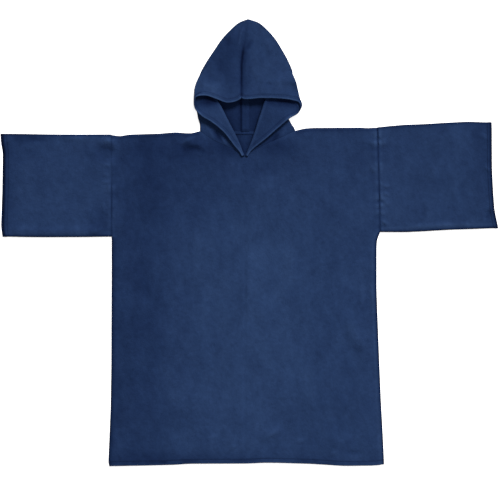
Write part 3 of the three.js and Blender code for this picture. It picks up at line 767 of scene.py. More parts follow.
def make_object(name: str, points: np.ndarray, faces: np.ndarray, tones: np.ndarray) -> bpy.types.Object:
    """Make a smooth mesh object from points and faces of one size.

    Args:
        name: The piece's name.
        points: Its points, in metres.
        faces: Point numbers, one row a face.
        tones: How light or dark the cloth is at each point, about 1.

    Returns:
        The new object, linked to the scene.
    """
    mesh = bpy.data.meshes.new(name)
    mesh.from_pydata(points.tolist(), [], faces.tolist())
    mesh.attributes.new("tone", "FLOAT", "POINT").data.foreach_set("value", tones.astype(np.float32))
    mesh.shade_smooth()
    mesh.update()
    return hang(name, mesh)


def hang(name: str, data: bpy.types.ID) -> bpy.types.Object:
    """Put a new object in the scene.

    Args:
        name: Its name.
        data: Its mesh, lamp or camera.

    Returns:
        The object.
    """
    holder = bpy.data.objects.new(name, data)
    bpy.context.scene.collection.objects.link(holder)
    return holder


def dress(
    piece: bpy.types.Object, material: bpy.types.Material, nodes: tuple[str, ...] = ()
) -> bpy.types.Object:
    """Give a piece its finish, and tie it to the frame.

    Args:
        piece: The piece.
        material: Its finish.
        nodes: The solids that it stands for.

    Returns:
        The same piece.
    """
    piece.data.materials.append(material)
    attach(piece, "root")
    if nodes:
        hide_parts(*nodes)
    LOG.info("%s: %d faces", piece.name, len(piece.data.polygons))
    return piece


@dataclass(frozen=True)
class StitchRun:
    """Machine stitches lying end to end along a line on the cloth."""

    pitch: float = 3.6
    length: float = 3.0
    radius: float = 0.34
    sides: int = 6

    def points_along(self, line: np.ndarray, facing: np.ndarray) -> tuple[np.ndarray, ...]:
        """Space the stitches evenly along a line.

        Args:
            line: Points of the line, in mm.
            facing: The way the cloth faces at each of them.

        Returns:
            Each stitch's middle, its direction, and the way the cloth faces there.
        """
        steps = np.linalg.norm(np.diff(line, axis=0), axis=1)
        run = np.concatenate([[0], np.cumsum(steps)])
        count = max(2, int(run[-1] / self.pitch))
        middles = (np.arange(count) + 0.5) * run[-1] / count

        def at(values: np.ndarray, where: np.ndarray) -> np.ndarray:
            """Look up each of the three columns along the line."""
            return np.column_stack([np.interp(where, run, values[:, k]) for k in range(3)])

        ahead = at(line, middles + 0.6) - at(line, middles - 0.6)
        ahead /= np.linalg.norm(ahead, axis=1)[:, None]
        normals = at(facing, middles)
        normals -= ahead * (normals * ahead).sum(axis=1)[:, None]
        normals /= np.linalg.norm(normals, axis=1)[:, None]
        return at(line, middles), ahead, normals

    def make(
        self, name: str, place: Place, line: np.ndarray, facing: np.ndarray, material: bpy.types.Material
    ) -> bpy.types.Object:
        """Make the whole run as one piece.

        Args:
            name: The piece's name.
            place: Where the garment lies.
            line: Points of the line, in mm.
            facing: The way the cloth faces at each of them.
            material: The thread's finish.

        Returns:
            The new piece.
        """
        middle, ahead, normal = self.points_along(line, facing)
        beside = np.cross(ahead, normal)
        rings = ((-0.5, 0.45, -0.3), (-0.3, 1.0, 0.0), (0.3, 1.0, 0.0), (0.5, 0.45, -0.3))
        angles = np.arange(self.sides) * 2 * math.pi / self.sides
        points = []
        for along, wide, sunk in rings:
            for angle in angles:
                off = beside * math.cos(angle) + normal * math.sin(angle)
                around = off * self.radius * wide + normal * sunk * self.radius
                points.append(middle + ahead * along * self.length + around)
        points = np.stack(points, axis=1)
        per_stitch = points.shape[1]
        faces = []
        for ring in range(len(rings) - 1):
            for k in range(self.sides):
                a, b = ring * self.sides + k, ring * self.sides + (k + 1) % self.sides
                faces.append((a, b, b + self.sides, a + self.sides))
        last = (len(rings) - 1) * self.sides
        for first, order in ((0, -1), (last, 1)):
            ring_points = [first + k for k in range(self.sides)][::order]
            faces.append(tuple(ring_points[:4]))
            faces.append((ring_points[0], *ring_points[3:6]))
        offsets = np.arange(len(middle)) * per_stitch
        all_faces = (np.array(faces)[None] + offsets[:, None, None]).reshape(-1, 4)
        flat = points.reshape(-1, 3)
        piece = make_object(name, place.metres(flat), all_faces, np.ones(len(flat)))
        return dress(piece, material)


@dataclass
class PanelPlan:
    """A body panel's grid as seen from above, with how far each point is from the panel's edges."""

    x: np.ndarray
    y: np.ndarray
    from_hem: np.ndarray
    from_top: np.ndarray
    to_side: np.ndarray
    neck: np.ndarray
    sewn: np.ndarray

    def to_outer_edge(self) -> np.ndarray:
        """Give how far it is to a sewn edge that shows: a side below the arm, or a shoulder."""
        top = np.where(self.neck, np.inf, self.from_top)
        return np.minimum(np.where(self.sewn, np.inf, self.to_side), top)

    def to_inner_seam(self) -> np.ndarray:
        """Give how far it is to a seam inside the garment's outline: an armhole or the neck."""
        neck = np.where(self.neck, self.from_top, np.inf)
        return np.minimum(np.where(self.sewn, self.to_side, np.inf), neck)

    def shell(
        self, upper: np.ndarray, lower: np.ndarray, upper_tone: np.ndarray, lower_tone: np.ndarray
    ) -> Shell:
        """Put the panel's two sides together.

        Args:
            upper: Heights of its upper side.
            lower: Heights of its lower side.
            upper_tone: How light or dark the upper side is.
            lower_tone: How light or dark the lower side is.

        Returns:
            The cloth, whose "outer" grid is the upper one.
        """
        outer, inner = (np.stack([self.x, self.y, height], axis=-1) for height in (upper, lower))
        return Shell(outer, inner, upper_tone, lower_tone)


@dataclass
class BodyPanel:
    """What the front and the back have in common: the grid between the hem, the sides and the neckline."""

    outline: Outline
    place: Place
    name: str = ""
    lies_on: str = ""
    facing: float = 1.0
    hem_band: float = 12.5
    edge_steps: tuple[float, ...] = (0, 0.3, 0.8, 1.5, 2.6, 4, 6, 8)
    hem_steps: tuple[float, ...] = (0, 0.3, 0.8, 1.6, 3, 6, 9, 10.8, 11.8, 12.5, 13.2, 14.2, 16, 19)
    top_steps: tuple[float, ...] = (27, 21, 16, 12, 9, 6.5, 4.6, 3.1, 2, 1.2, 0.6, 0.2, 0)
    column_step: float = 4.7
    row_step: float = 4.7
    below_arm: float = 665
    above_arm: float = 270

    def neckline(self, x: np.ndarray) -> np.ndarray:
        """Give how far up the panel's neckline is at places across."""
        raise NotImplementedError

    def shell(self, plan: PanelPlan) -> Shell:
        """Shape the panel's two surfaces over its plan."""
        raise NotImplementedError

    def columns(self) -> tuple[np.ndarray, ...]:
        """Lay out the columns at the top of the panel.

        Returns:
            Each column's side, share of the way out, inset, top, and whether it ends at the neck.
        """
        left, right = (float(SLEEVES[side].armhole.column("across")[-1]) for side in Side)
        edge = np.array(self.edge_steps)

        def spread(start: float, end: float) -> np.ndarray:
            """Space columns evenly between two places, without the ends."""
            count = max(2, round(abs(end - start) / self.column_step))
            return np.linspace(start, end, count + 1)[1:-1]

        stops = (left + edge[-1], NECK_LEFT, V_ACROSS, NECK_RIGHT, right - edge[-1])
        parts = [left + edge]
        for start, end in zip(stops[:-1], stops[1:]):
            parts += [spread(start, end), [end]]
        across = np.concatenate([*parts[:-1], right - edge[::-1]])
        inset = np.concatenate([edge, np.zeros(len(across) - 2 * len(edge)), edge[::-1]])
        outer = np.ones(len(across), dtype=bool)
        outer[len(edge) : -len(edge)] = False
        side = np.where(across < V_ACROSS, -1.0, 1.0)
        neck = (across >= NECK_LEFT) & (across <= NECK_RIGHT)
        top = np.where(neck, self.neckline(across), self.outline.shoulders.at(across))
        reach = self.outline.side_at(across, top)
        share = np.where(outer, 1.0, np.abs((across - V_ACROSS) / (reach - V_ACROSS)))
        return side, share, inset, top, neck

    def plan(self) -> PanelPlan:
        """Lay out the whole grid, with rows that follow the hem, the underarms and the top.

        Returns:
            The grid.
        """
        side, share, inset, top, neck = self.columns()
        low = self.outline.side_at(side, np.zeros(len(side)))
        hem = self.outline.hem.at(V_ACROSS + (low - V_ACROSS) * share)
        top = top - np.where(neck, NECK_JOIN, 0)
        under = mix(UNDERARM[Side.LEFT], UNDERARM[Side.RIGHT], (1 + side * share) / 2)
        below = np.linspace(0, 1, round(self.below_arm / self.row_step) + 1)[1:-1, None]
        above = np.linspace(0, 1, round(self.above_arm / self.row_step) + 1)[1:-1, None]
        y = np.vstack(
            [
                hem + np.array(self.hem_steps)[:, None],
                mix(hem + self.hem_steps[-1], under - 2, below),
                under + np.array([[-2.0], [2.0]]),
                mix(under + 2, top - self.top_steps[0], above),
                top - np.array(self.top_steps)[:, None],
            ]
        )
        sewn = y > np.where(side < 0, *UNDERARM.values())
        sides = self.outline.side_at(np.where(side < 0, -FAR, FAR), y)
        gap = np.where(sewn & (share == 1), JOIN, 0)
        x = V_ACROSS + (sides - V_ACROSS) * share - side * (inset + gap)
        return PanelPlan(
            x=x,
            y=y,
            from_hem=y - hem,
            from_top=top - y,
            to_side=side * (sides - x),
            neck=np.broadcast_to(neck, y.shape),
            sewn=sewn,
        )

    def build(self, cloth: bpy.types.Material, thread: bpy.types.Material) -> None:
        """Make the panel and its hem's stitching, on the side that faces out.

        Args:
            cloth: The towelling.
            thread: The sewing thread.
        """
        shell = self.shell(self.plan())
        panel = dress(shell.make(f"{self.name}_cloth", self.place), cloth, (f"{self.name}_panel",))
        shown = shell.outer if self.facing > 0 else shell.inner
        line = shown[self.hem_steps.index(self.hem_band), 4:-4] + np.array([0, 0, THREAD_RISE * self.facing])
        way = np.tile([0.0, 0.0, self.facing], (len(line), 1))
        stitches = StitchRun().make(f"{self.name}_hem_stitching", self.place, line, way, thread)


@dataclass
class FrontPanel(BodyPanel):
    """The front of the body, whose neckline falls to a low V."""

    name: str = "front"
    lies_on: str = "back_cloth"
    relief: Relief | None = None
    round_wide: float = 8
    edge_thick: float = 0.8
    seam_wide: float = 6
    # Rows across, up, wide, tall, shade. The patches at -40, 962 and 90, 955 paint the lapels' shadows, and
    # the one at 20, 420 is a painted pool of light in the middle. The rest make the cloth darker at the left
    # side, at the top and along the hem, and lighter at one place by the hem.
    patches: tuple[NapAndShadePatch, ...] = nap_and_shade_patches(
        (-320, 470, 100, 760, -0.24), (20, 420, 170, 420, 0.15), (-150, 880, 190, 170, -0.2),
        (-240, 960, 140, 50, -0.14), (-150, 950, 60, 40, -0.12), (-40, 962, 60, 40, -0.34),
        (90, 955, 60, 30, -0.34), (50, 895, 70, 36, -0.16), (240, 960, 190, 90, -0.1),
        (0, 0, 420, 36, -0.17), (-200, 20, 240, 26, -0.14), (336, 26, 40, 24, 0.1),
    )

    def neckline(self, x: np.ndarray) -> np.ndarray:
        """Give how far up the V neckline is at places across."""
        return self.outline.on_side(self.outline.front_neck, x, x)

    def shell(self, plan: PanelPlan) -> Shell:
        """Shape the panel's two surfaces over its plan.

        Args:
            plan: The panel's grid.

        Returns:
            The cloth.
        """
        edge, seam = plan.to_outer_edge(), plan.to_inner_seam()
        middle = self.relief.mid(plan.x, plan.y)
        nose, raised = hem_profile(plan.from_hem, self.hem_band)
        dip = self.outline.seam_depth(plan.x, plan.y) * (1 - quarter_round(seam / self.seam_wide))
        rounding = quarter_round(edge / self.round_wide)
        allowance = 0.5 * bell(edge - 11, 5) * ease(plan.from_hem / 20)
        crest = middle + HALF_CLOTH * nose + raised - dip + allowance
        base = CLOTH + SEAM_GAP
        upper = mix(base + self.edge_thick, crest, rounding)
        lower = mix(base, middle - HALF_CLOTH * nose, rounding)
        armhole = np.where(plan.sewn, plan.to_side, FAR)
        side = np.where(plan.sewn, FAR, plan.to_side)
        top = np.where(plan.neck, FAR, plan.from_top)
        # Painted shade and light: a dark line in the hem's gathers, a painted glint along its fold, and
        # painted shade at the edges, shoulders, armholes and creases.
        gathers = np.clip(Ripple(93, 30, 400, 1).at(plan.x, plan.y), 0, 1.4) * bell(plan.from_hem - 9.5, 4)
        glint = 0.26 * np.clip(0.7 + Ripple(91, 60, 400, 0.8).at(plan.x, plan.y), 0, 1.4)
        tone = 1 + nap_and_painted_shade(self.patches, plan.x, plan.y) + hem_painted_shade(plan.from_hem, self.hem_band, glint)
        tone = tone + self.relief.crease_shade_and_mottling(plan.x, plan.y) - 0.24 * gathers
        tone = tone * np.where(plan.x < V_ACROSS, *(SIDE_SHADES[each].tone(side) for each in Side))
        tone = tone * SHOULDER_SHADE.tone(top) * self.outline.armhole_painted_shade(plan.x, plan.y, armhole)
        return plan.shell(upper, lower, tone, np.ones(plan.x.shape))


@dataclass
class BackPanel(BodyPanel):
    """The back of the body, which lies on the surface with its outer side down."""

    name: str = "back"
    lies_on: str = "floor"
    facing: float = -1.0
    column_step: float = 9
    row_step: float = 9
    round_wide: float = 3
    edge_thick: float = 0.8
    under_ripples: tuple[Ripple, ...] = (Ripple(61, 70, 110, 0.5, 5), Ripple(67, 26, 40, 0.25, -4))

    def neckline(self, x: np.ndarray) -> np.ndarray:
        """Give how far up the shallow back neckline is at places across."""
        return self.outline.back_neck.at(x)

    def shell(self, plan: PanelPlan) -> Shell:
        """Shape the panel's two surfaces over its plan.

        Args:
            plan: The panel's grid.

        Returns:
            The cloth.
        """
        edge, seam = plan.to_outer_edge(), plan.to_inner_seam()
        nose, raised = hem_profile(plan.from_hem, self.hem_band)
        lift = sum(ripple.at(plan.x, plan.y) for ripple in self.under_ripples)
        lift = np.maximum(0, lift) + 1.1 * (1 - quarter_round(seam / 5)) - np.minimum(0, raised)
        lift = lift * ease(edge / 5)
        rounded = (CLOTH - self.edge_thick) * (1 - quarter_round(edge / self.round_wide))
        lower = np.maximum(np.minimum(lift, 1.4), rounded)
        lower = mix(HALF_CLOTH, lower, nose)
        upper = mix(HALF_CLOTH, CLOTH, nose) - 0.3 * bell(seam, 3)
        # Painted shade: the rolled edges darker, the upper back inside the hood darker with the lapels'
        # painted shadows, and the underside darker at the seams and the hem.
        rolled = UNDER_SHADE.tone(edge)
        inside = rolled * (1 - 0.3 * (plan.y > 900)) * painted_lapel_shadow(plan.x, plan.y)
        below = rolled * (1 - 0.35 * bell(seam, 2.6)) + hem_painted_shade(plan.from_hem, self.hem_band)
        return plan.shell(upper, lower, inside, below)


@dataclass
class Sleeve:
    """A sleeve, folded along the shoulder and sewn along the underarm, from armhole to turned cuff."""

    side: Side
    outline: Outline
    relief: Relief
    place: Place
    flat: Pair
    patches: tuple[NapAndShadePatch, ...]
    cuff_band: float = 13
    armhole_steps: tuple[float, ...] = (0, 0.6, 1.3, 2.2, 3.3, 4.8, 6.8, 9.2, 12)
    cuff_steps: tuple[float, ...] = (19, 16, 14.6, 13.7, 13, 12.3, 11.4, 9.5, 6.5, 3.5, 1.8, 0.9, 0.4, 0)
    row_step: float = 4.7
    under_spans: int = 40
    turn_spans: int = 14
    over_spans: int = 78

    def section(self, lower: float, upper: float, across: np.ndarray) -> tuple[np.ndarray, ...]:
        """Shape one section: a flat loop along the surface, round the shoulder edge and back over the top.

        Args:
            lower: How far up the underarm edge is.
            upper: How far up the shoulder edge is.
            across: The section's place across, at each of the sleeve's levels.

        Returns:
            For each point of the loop its y and z, and the way it faces.
        """

        def top_at(y: np.ndarray) -> np.ndarray:
            """Give the height of the upper cloth's middle."""
            return self.relief.mid(np.interp(y, SLEEVE_LEVELS, across), y)

        low_radius, high_radius = (float(top_at(np.array([y]))[0] - FLOOR_MID) / 2 for y in (lower, upper))
        start, end = lower + HALF_CLOTH + low_radius, upper - HALF_CLOTH - high_radius
        under = np.linspace(start, end, self.under_spans + 1)
        angles = np.linspace(-0.5, 0.5, self.turn_spans + 1)[1:-1] * math.pi
        over = np.linspace(end, start, self.over_spans + 1)
        seam_share = bell(np.minimum(over - start, end - over), 3)
        turned = np.where(over > (start + end) / 2, 2 * high_radius, 2 * low_radius) + FLOOR_MID
        y = np.concatenate(
            [under, end + high_radius * np.cos(angles), over, start - low_radius * np.cos(angles)]
        )
        z = np.concatenate(
            [
                np.full(len(under), FLOOR_MID),
                FLOOR_MID + high_radius * (1 + np.sin(angles)),
                mix(top_at(over), turned, seam_share),
                FLOOR_MID + low_radius * (1 - np.sin(angles)),
            ]
        )
        flat_under, flat_over = np.zeros(len(under)), np.zeros(len(over))
        facing_y = np.concatenate([flat_under, np.cos(angles), flat_over, -np.cos(angles)])
        facing_z = np.concatenate([flat_under - 1, np.sin(angles), flat_over + 1, -np.sin(angles)])
        return y, z, facing_y, facing_z

    def shell(self) -> Shell:
        """Shape the whole sleeve.

        Returns:
            The cloth, as a tube.
        """
        out = self.side.value
        seam = self.outline.sides[self.side].at(SLEEVE_LEVELS) + out * JOIN
        cuff = self.outline.cuffs[self.side].at(SLEEVE_LEVELS)
        length = float(np.mean(np.abs(cuff - seam)))
        between = length - self.armhole_steps[-1] - self.cuff_steps[0]
        shares = np.linspace(0, 1, round(between / self.row_step) + 1)[1:-1]
        rows = [(seam + out * step, step, length) for step in self.armhole_steps]
        first, last = seam + out * self.armhole_steps[-1], cuff - out * self.cuff_steps[0]
        rows += [(mix(first, last, f), self.armhole_steps[-1] + f * between, length) for f in shares]
        rows += [(cuff - out * step, length - step, step) for step in self.cuff_steps]
        outer, inner, outer_tone, inner_tone = [], [], [], []
        for i, (across, reach, to_cuff) in enumerate(rows):
            if i < len(rows) - len(self.cuff_steps):
                to_cuff = length - reach
            edges = (self.outline.lower[self.side], self.outline.upper[self.side])
            lower, upper = (float(edge.at(reach)) for edge in edges)
            y, z, facing_y, facing_z = self.section(lower, upper, across)
            on_top = np.clip((z - CLOTH) / CLOTH, 0, 1)
            back = SLEEVES[self.side].upper_set_back * on_top * ease((60 - to_cuff) / 60)
            x = np.interp(y, SLEEVE_LEVELS, across) - out * back
            at_cuff = np.array(to_cuff)
            nose, raised = hem_profile(at_cuff, self.cuff_band)
            dip = self.outline.seam_depth(x, y) * (1 - quarter_round(reach / 6))
            half_out = HALF_CLOTH * nose + raised - dip * np.abs(facing_z)
            half_out = np.where(facing_z < -0.5, np.minimum(half_out, HALF_CLOTH), half_out)
            half_in = HALF_CLOTH * nose
            half_out = half_out - 0.7 * bell(y - lower, 2.2) * np.clip(half_out, 0, 1)
            outer.append(np.stack([x, y + facing_y * half_out, z + facing_z * half_out], axis=-1))
            inner.append(np.stack([x, y - facing_y * half_in, z - facing_z * half_in], axis=-1))
            # Painted shade and light: the creases' shading on the upper side, and the painted shade of the
            # cuff's hem, the armhole and the edges, with the patches.
            creased = self.relief.crease_shade_and_mottling(x, y) * np.clip(facing_z, 0, 1)
            tone = 1 + float(hem_painted_shade(at_cuff, self.cuff_band)) + nap_and_painted_shade(self.patches, x, y) + creased
            tone = tone * self.outline.armhole_painted_shade(x, y, np.array(reach)) * float(CUFF_SHADE.tone(at_cuff))
            outer_tone.append(tone * SLEEVE_LOW_SHADE.tone(y - lower) * SLEEVE_TOP_SHADE.tone(upper - y))
            inner_tone.append(tone)
        grids = [np.array(part) for part in (outer, inner, outer_tone, inner_tone)]
        if out < 0:
            grids = [grid[:, ::-1] for grid in grids]
        return Shell(*grids, wraps=True)

    def build(self, cloth: bpy.types.Material, thread: bpy.types.Material) -> None:
        """Make the sleeve and its cuff's stitching.

        Args:
            cloth: The towelling.
            thread: The sewing thread.
        """
        shell = self.shell()
        name = f"sleeve_{self.side.label}"
        sleeve = dress(shell.make(f"{name}_cloth", self.place), cloth, (name,))
        row = len(shell.outer) - len(self.cuff_steps) + self.cuff_steps.index(self.cuff_band)
        ring, inside = shell.outer[row], shell.inner[row]
        facing = ring - inside
        facing /= np.linalg.norm(facing, axis=1)[:, None]
        line = ring + facing * THREAD_RISE
        line[:, 2] = np.maximum(line[:, 2], 0.4)
        closed, closed_facing = (np.concatenate([ends, ends[:1]]) for ends in (line, facing))
        stitching = f"cuff_{self.side.label}_stitching"
        stitches = StitchRun().make(stitching, self.place, closed, closed_facing, thread)


class SeamLevel(NamedTuple):
    """The seam between the hood halves at one row: down the back, and over the top where there is one."""

    back: Pair
    top: Triple | None = None


class HoodRow(NamedTuple):
    """One section of a hood half, from the seam down the back to its other edge.

    The cloth turns up at the side. Low down the slack turns out again at the tuck, and over the mouth it
    turns in at the turn, before it ends at the edge. Further up, the row is a plain fold with its top at
    side_top.
    """

    side: Pair
    tuck: Triple | None = None
    turn: Triple | None = None
    edge: Triple | None = None
    radius: float = 2.6
    side_top: float = 0.0
    bend: float = 0.0
    fold_wide: float | None = None


BACK_END, SIDE_END, TUCK_START, TUCK_END, TURN_START, TURN_END, ROW_END = 3, 7, 15, 19, 23, 27, 33
SEAM_LEVELS = (
    *(SeamLevel((-9, up)) for up in (1010, 1023, 1047, 1068, 1085, 1101, 1118, 1134, 1152, 1170)),
    SeamLevel((-9, 1188), (-9, 1101.5, 22)),
    SeamLevel((-9, 1218), (-9, 1152, 19)),
    SeamLevel((-6, 1248), (-9, 1200, 16.5)),
    SeamLevel((-2, 1278), (-4.5, 1242, 14.5)),
    SeamLevel((3, 1305), (3, 1284, 12.5)),
    SeamLevel((7.5, 1325), (7.5, 1317, 11)),
)
LEFT_ROWS = (
    HoodRow((-132, 1014), (-8, 947, 9.4), edge=(-16, 942, 12.2)),
    HoodRow((-132.5, 1024), (-15, 966, 10.3), edge=(-29, 957, 14)),
    HoodRow((-138, 1042.5), (-33, 1003.5, 12), edge=(-63, 1000, 17.5)),
    HoodRow((-141, 1059), (-52, 1040, 14), edge=(-99, 1029.5, 21)),
    HoodRow((-144, 1074), (-69, 1074, 15), edge=(-130, 1048.5, 24)),
    HoodRow((-147, 1089), (-82.5, 1098, 15), (-147.5, 1073, 20.5), (-147.5, 1072, 28)),
    HoodRow((-148.5, 1105), (-96, 1117.5, 13.5), (-150, 1092, 20), (-146, 1101, 29.5)),
    HoodRow((-147.5, 1122), (-109.5, 1134, 12), (-149.5, 1112, 17.5), (-115.5, 1107, 28)),
    HoodRow((-144, 1139), (-118, 1146, 10.5), (-148.5, 1129, 15.5), (-85.5, 1098, 26)),
    HoodRow((-139, 1157), (-133, 1162, 8.8), (-143, 1149, 14.2), (-49, 1086.5, 22), radius=3.3),
    HoodRow((-132.5, 1173), side_top=15, bend=0.5, fold_wide=2),
    HoodRow((-113, 1210), side_top=13.5),
    HoodRow((-90, 1245), side_top=12.5),
    HoodRow((-67.5, 1278), side_top=11.5),
    HoodRow((-42.5, 1305), side_top=10.5),
    HoodRow((-17.5, 1327), side_top=9.5),
)
RIGHT_ROWS = (
    HoodRow((148, 1013), (10, 946, 9.4), edge=(18, 941, 12.2)),
    HoodRow((142, 1022), (17, 962, 10.3), edge=(31, 954, 14)),
    HoodRow((131.5, 1040), (30, 998, 12), edge=(63, 979, 17)),
    HoodRow((124.5, 1057), (41.5, 1034, 13.5), edge=(99, 1010.5, 19)),
    HoodRow((122, 1073), (52.5, 1067, 14), edge=(132, 1038.5, 18.5)),
    HoodRow((124.5, 1089), (61.5, 1094, 13.5), (163, 1063, 6.5), (163, 1062, 14)),
    HoodRow((132, 1106), (72, 1117.5, 12.5), (171.5, 1082, 6.3), (164, 1087, 11.5)),
    HoodRow((139.5, 1122), (85.5, 1136, 11.5), (165, 1103, 6.3), (141, 1095, 18.5)),
    HoodRow((144, 1139), (106.5, 1151, 10.5), (160, 1124, 6.6), (104, 1099, 23)),
    HoodRow((143.5, 1158), (138, 1163, 8.8), (153.5, 1149, 13.6), (52.5, 1100.5, 24), radius=3.3),
    HoodRow((143, 1177), side_top=15, bend=0.5, fold_wide=2),
    HoodRow((130.5, 1212), side_top=13.5),
    HoodRow((112.5, 1245), side_top=12.5),
    HoodRow((92, 1278), side_top=11.5),
    HoodRow((68.5, 1305), side_top=10.5),
    HoodRow((43, 1327), side_top=9.5),
)


def painted_lapel_shadow(x: np.ndarray, y: np.ndarray) -> np.ndarray:
    """Give how much of its tone the cloth deep in the hood keeps under the painted shadows that the lapels'
    folds cast beside them.

    Args:
        x: How far across the points are.
        y: How far up they are.

    Returns:
        The shares, which are lowest under the folds.
    """
    kept = np.ones(np.shape(x))
    for side, rows in ((Side.LEFT, LEFT_ROWS), (Side.RIGHT, RIGHT_ROWS)):
        tucks = np.array([row.tuck for row in rows if row.tuck])
        gap = (x - np.interp(y, tucks[:, 1], tucks[:, 0])) * -side.value
        kept = kept * (1 - 0.65 * np.exp(-np.maximum(0, gap) / 8))
    return kept


def heading(start: np.ndarray, end: np.ndarray) -> np.ndarray:
    """Give the direction from one point to another, of length 1."""
    return (end - start) / np.linalg.norm(end - start)


def out_of(a: np.ndarray, corner: np.ndarray, b: np.ndarray) -> np.ndarray:
    """Give the direction that a corner between two points sticks out in."""
    way = heading(a, corner) + heading(b, corner)
    return way / np.linalg.norm(way)


def share_within(s: np.ndarray, start: float, end: float) -> np.ndarray:
    """Give how far along each column is that lies from one station to another."""
    return (s[(s >= start) & (s <= end)] - start) / (end - start)


def half_turn(
    nose: np.ndarray, forward: np.ndarray, middle: float, radius: float, shares: np.ndarray, wide: float
) -> np.ndarray:
    """Turn the cloth back on itself.

    Args:
        nose: The furthest point of the turn, seen from above.
        forward: The way that it points.
        middle: Height of its middle.
        radius: Half the height between its two layers.
        shares: Where along the turn the points are, from its lower layer to its upper.
        wide: How far back from the nose the turn starts.

    Returns:
        Points of the turn.
    """
    angles = (shares - 0.5) * math.pi
    back = wide * (np.cos(angles) - 1)
    flat = nose + forward * back[:, None]
    return np.column_stack([flat, middle + radius * np.sin(angles)])


def through_rows(rows: np.ndarray, places: np.ndarray) -> np.ndarray:
    """Run a smooth curve through each column of points, with the pace of a centripetal spline.

    Args:
        rows: Points by row and column.
        places: Where to read the curves, in rows.

    Returns:
        Points by place and column.
    """
    first, last = 2 * rows[0] - rows[1], 2 * rows[-1] - rows[-2]
    padded = np.concatenate([first[None], rows, last[None]])
    result = []
    for place in places:
        i = min(int(place), len(rows) - 2)
        f = place - i
        p0, p1, p2, p3 = padded[i : i + 4]
        steps = [np.sum((b - a) ** 2, axis=-1) ** 0.25 for a, b in ((p0, p1), (p1, p2), (p2, p3))]
        d1 = np.where(steps[1] < 1e-4, 1.0, steps[1])
        d0 = np.where(steps[0] < 1e-4, d1, steps[0])
        d2 = np.where(steps[2] < 1e-4, d1, steps[2])
        d0, d1, d2 = (d[:, None] for d in (d0, d1, d2))
        t1 = ((p1 - p0) / d0 - (p2 - p0) / (d0 + d1) + (p2 - p1) / d1) * d1
        t2 = ((p2 - p1) / d1 - (p3 - p1) / (d1 + d2) + (p3 - p2) / d2) * d1
        cubic = 2 * p1 - 2 * p2 + t1 + t2
        square = -3 * p1 + 3 * p2 - 2 * t1 - t2
        result.append(p1 + t1 * f + square * f**2 + cubic * f**3)
    return np.array(result)


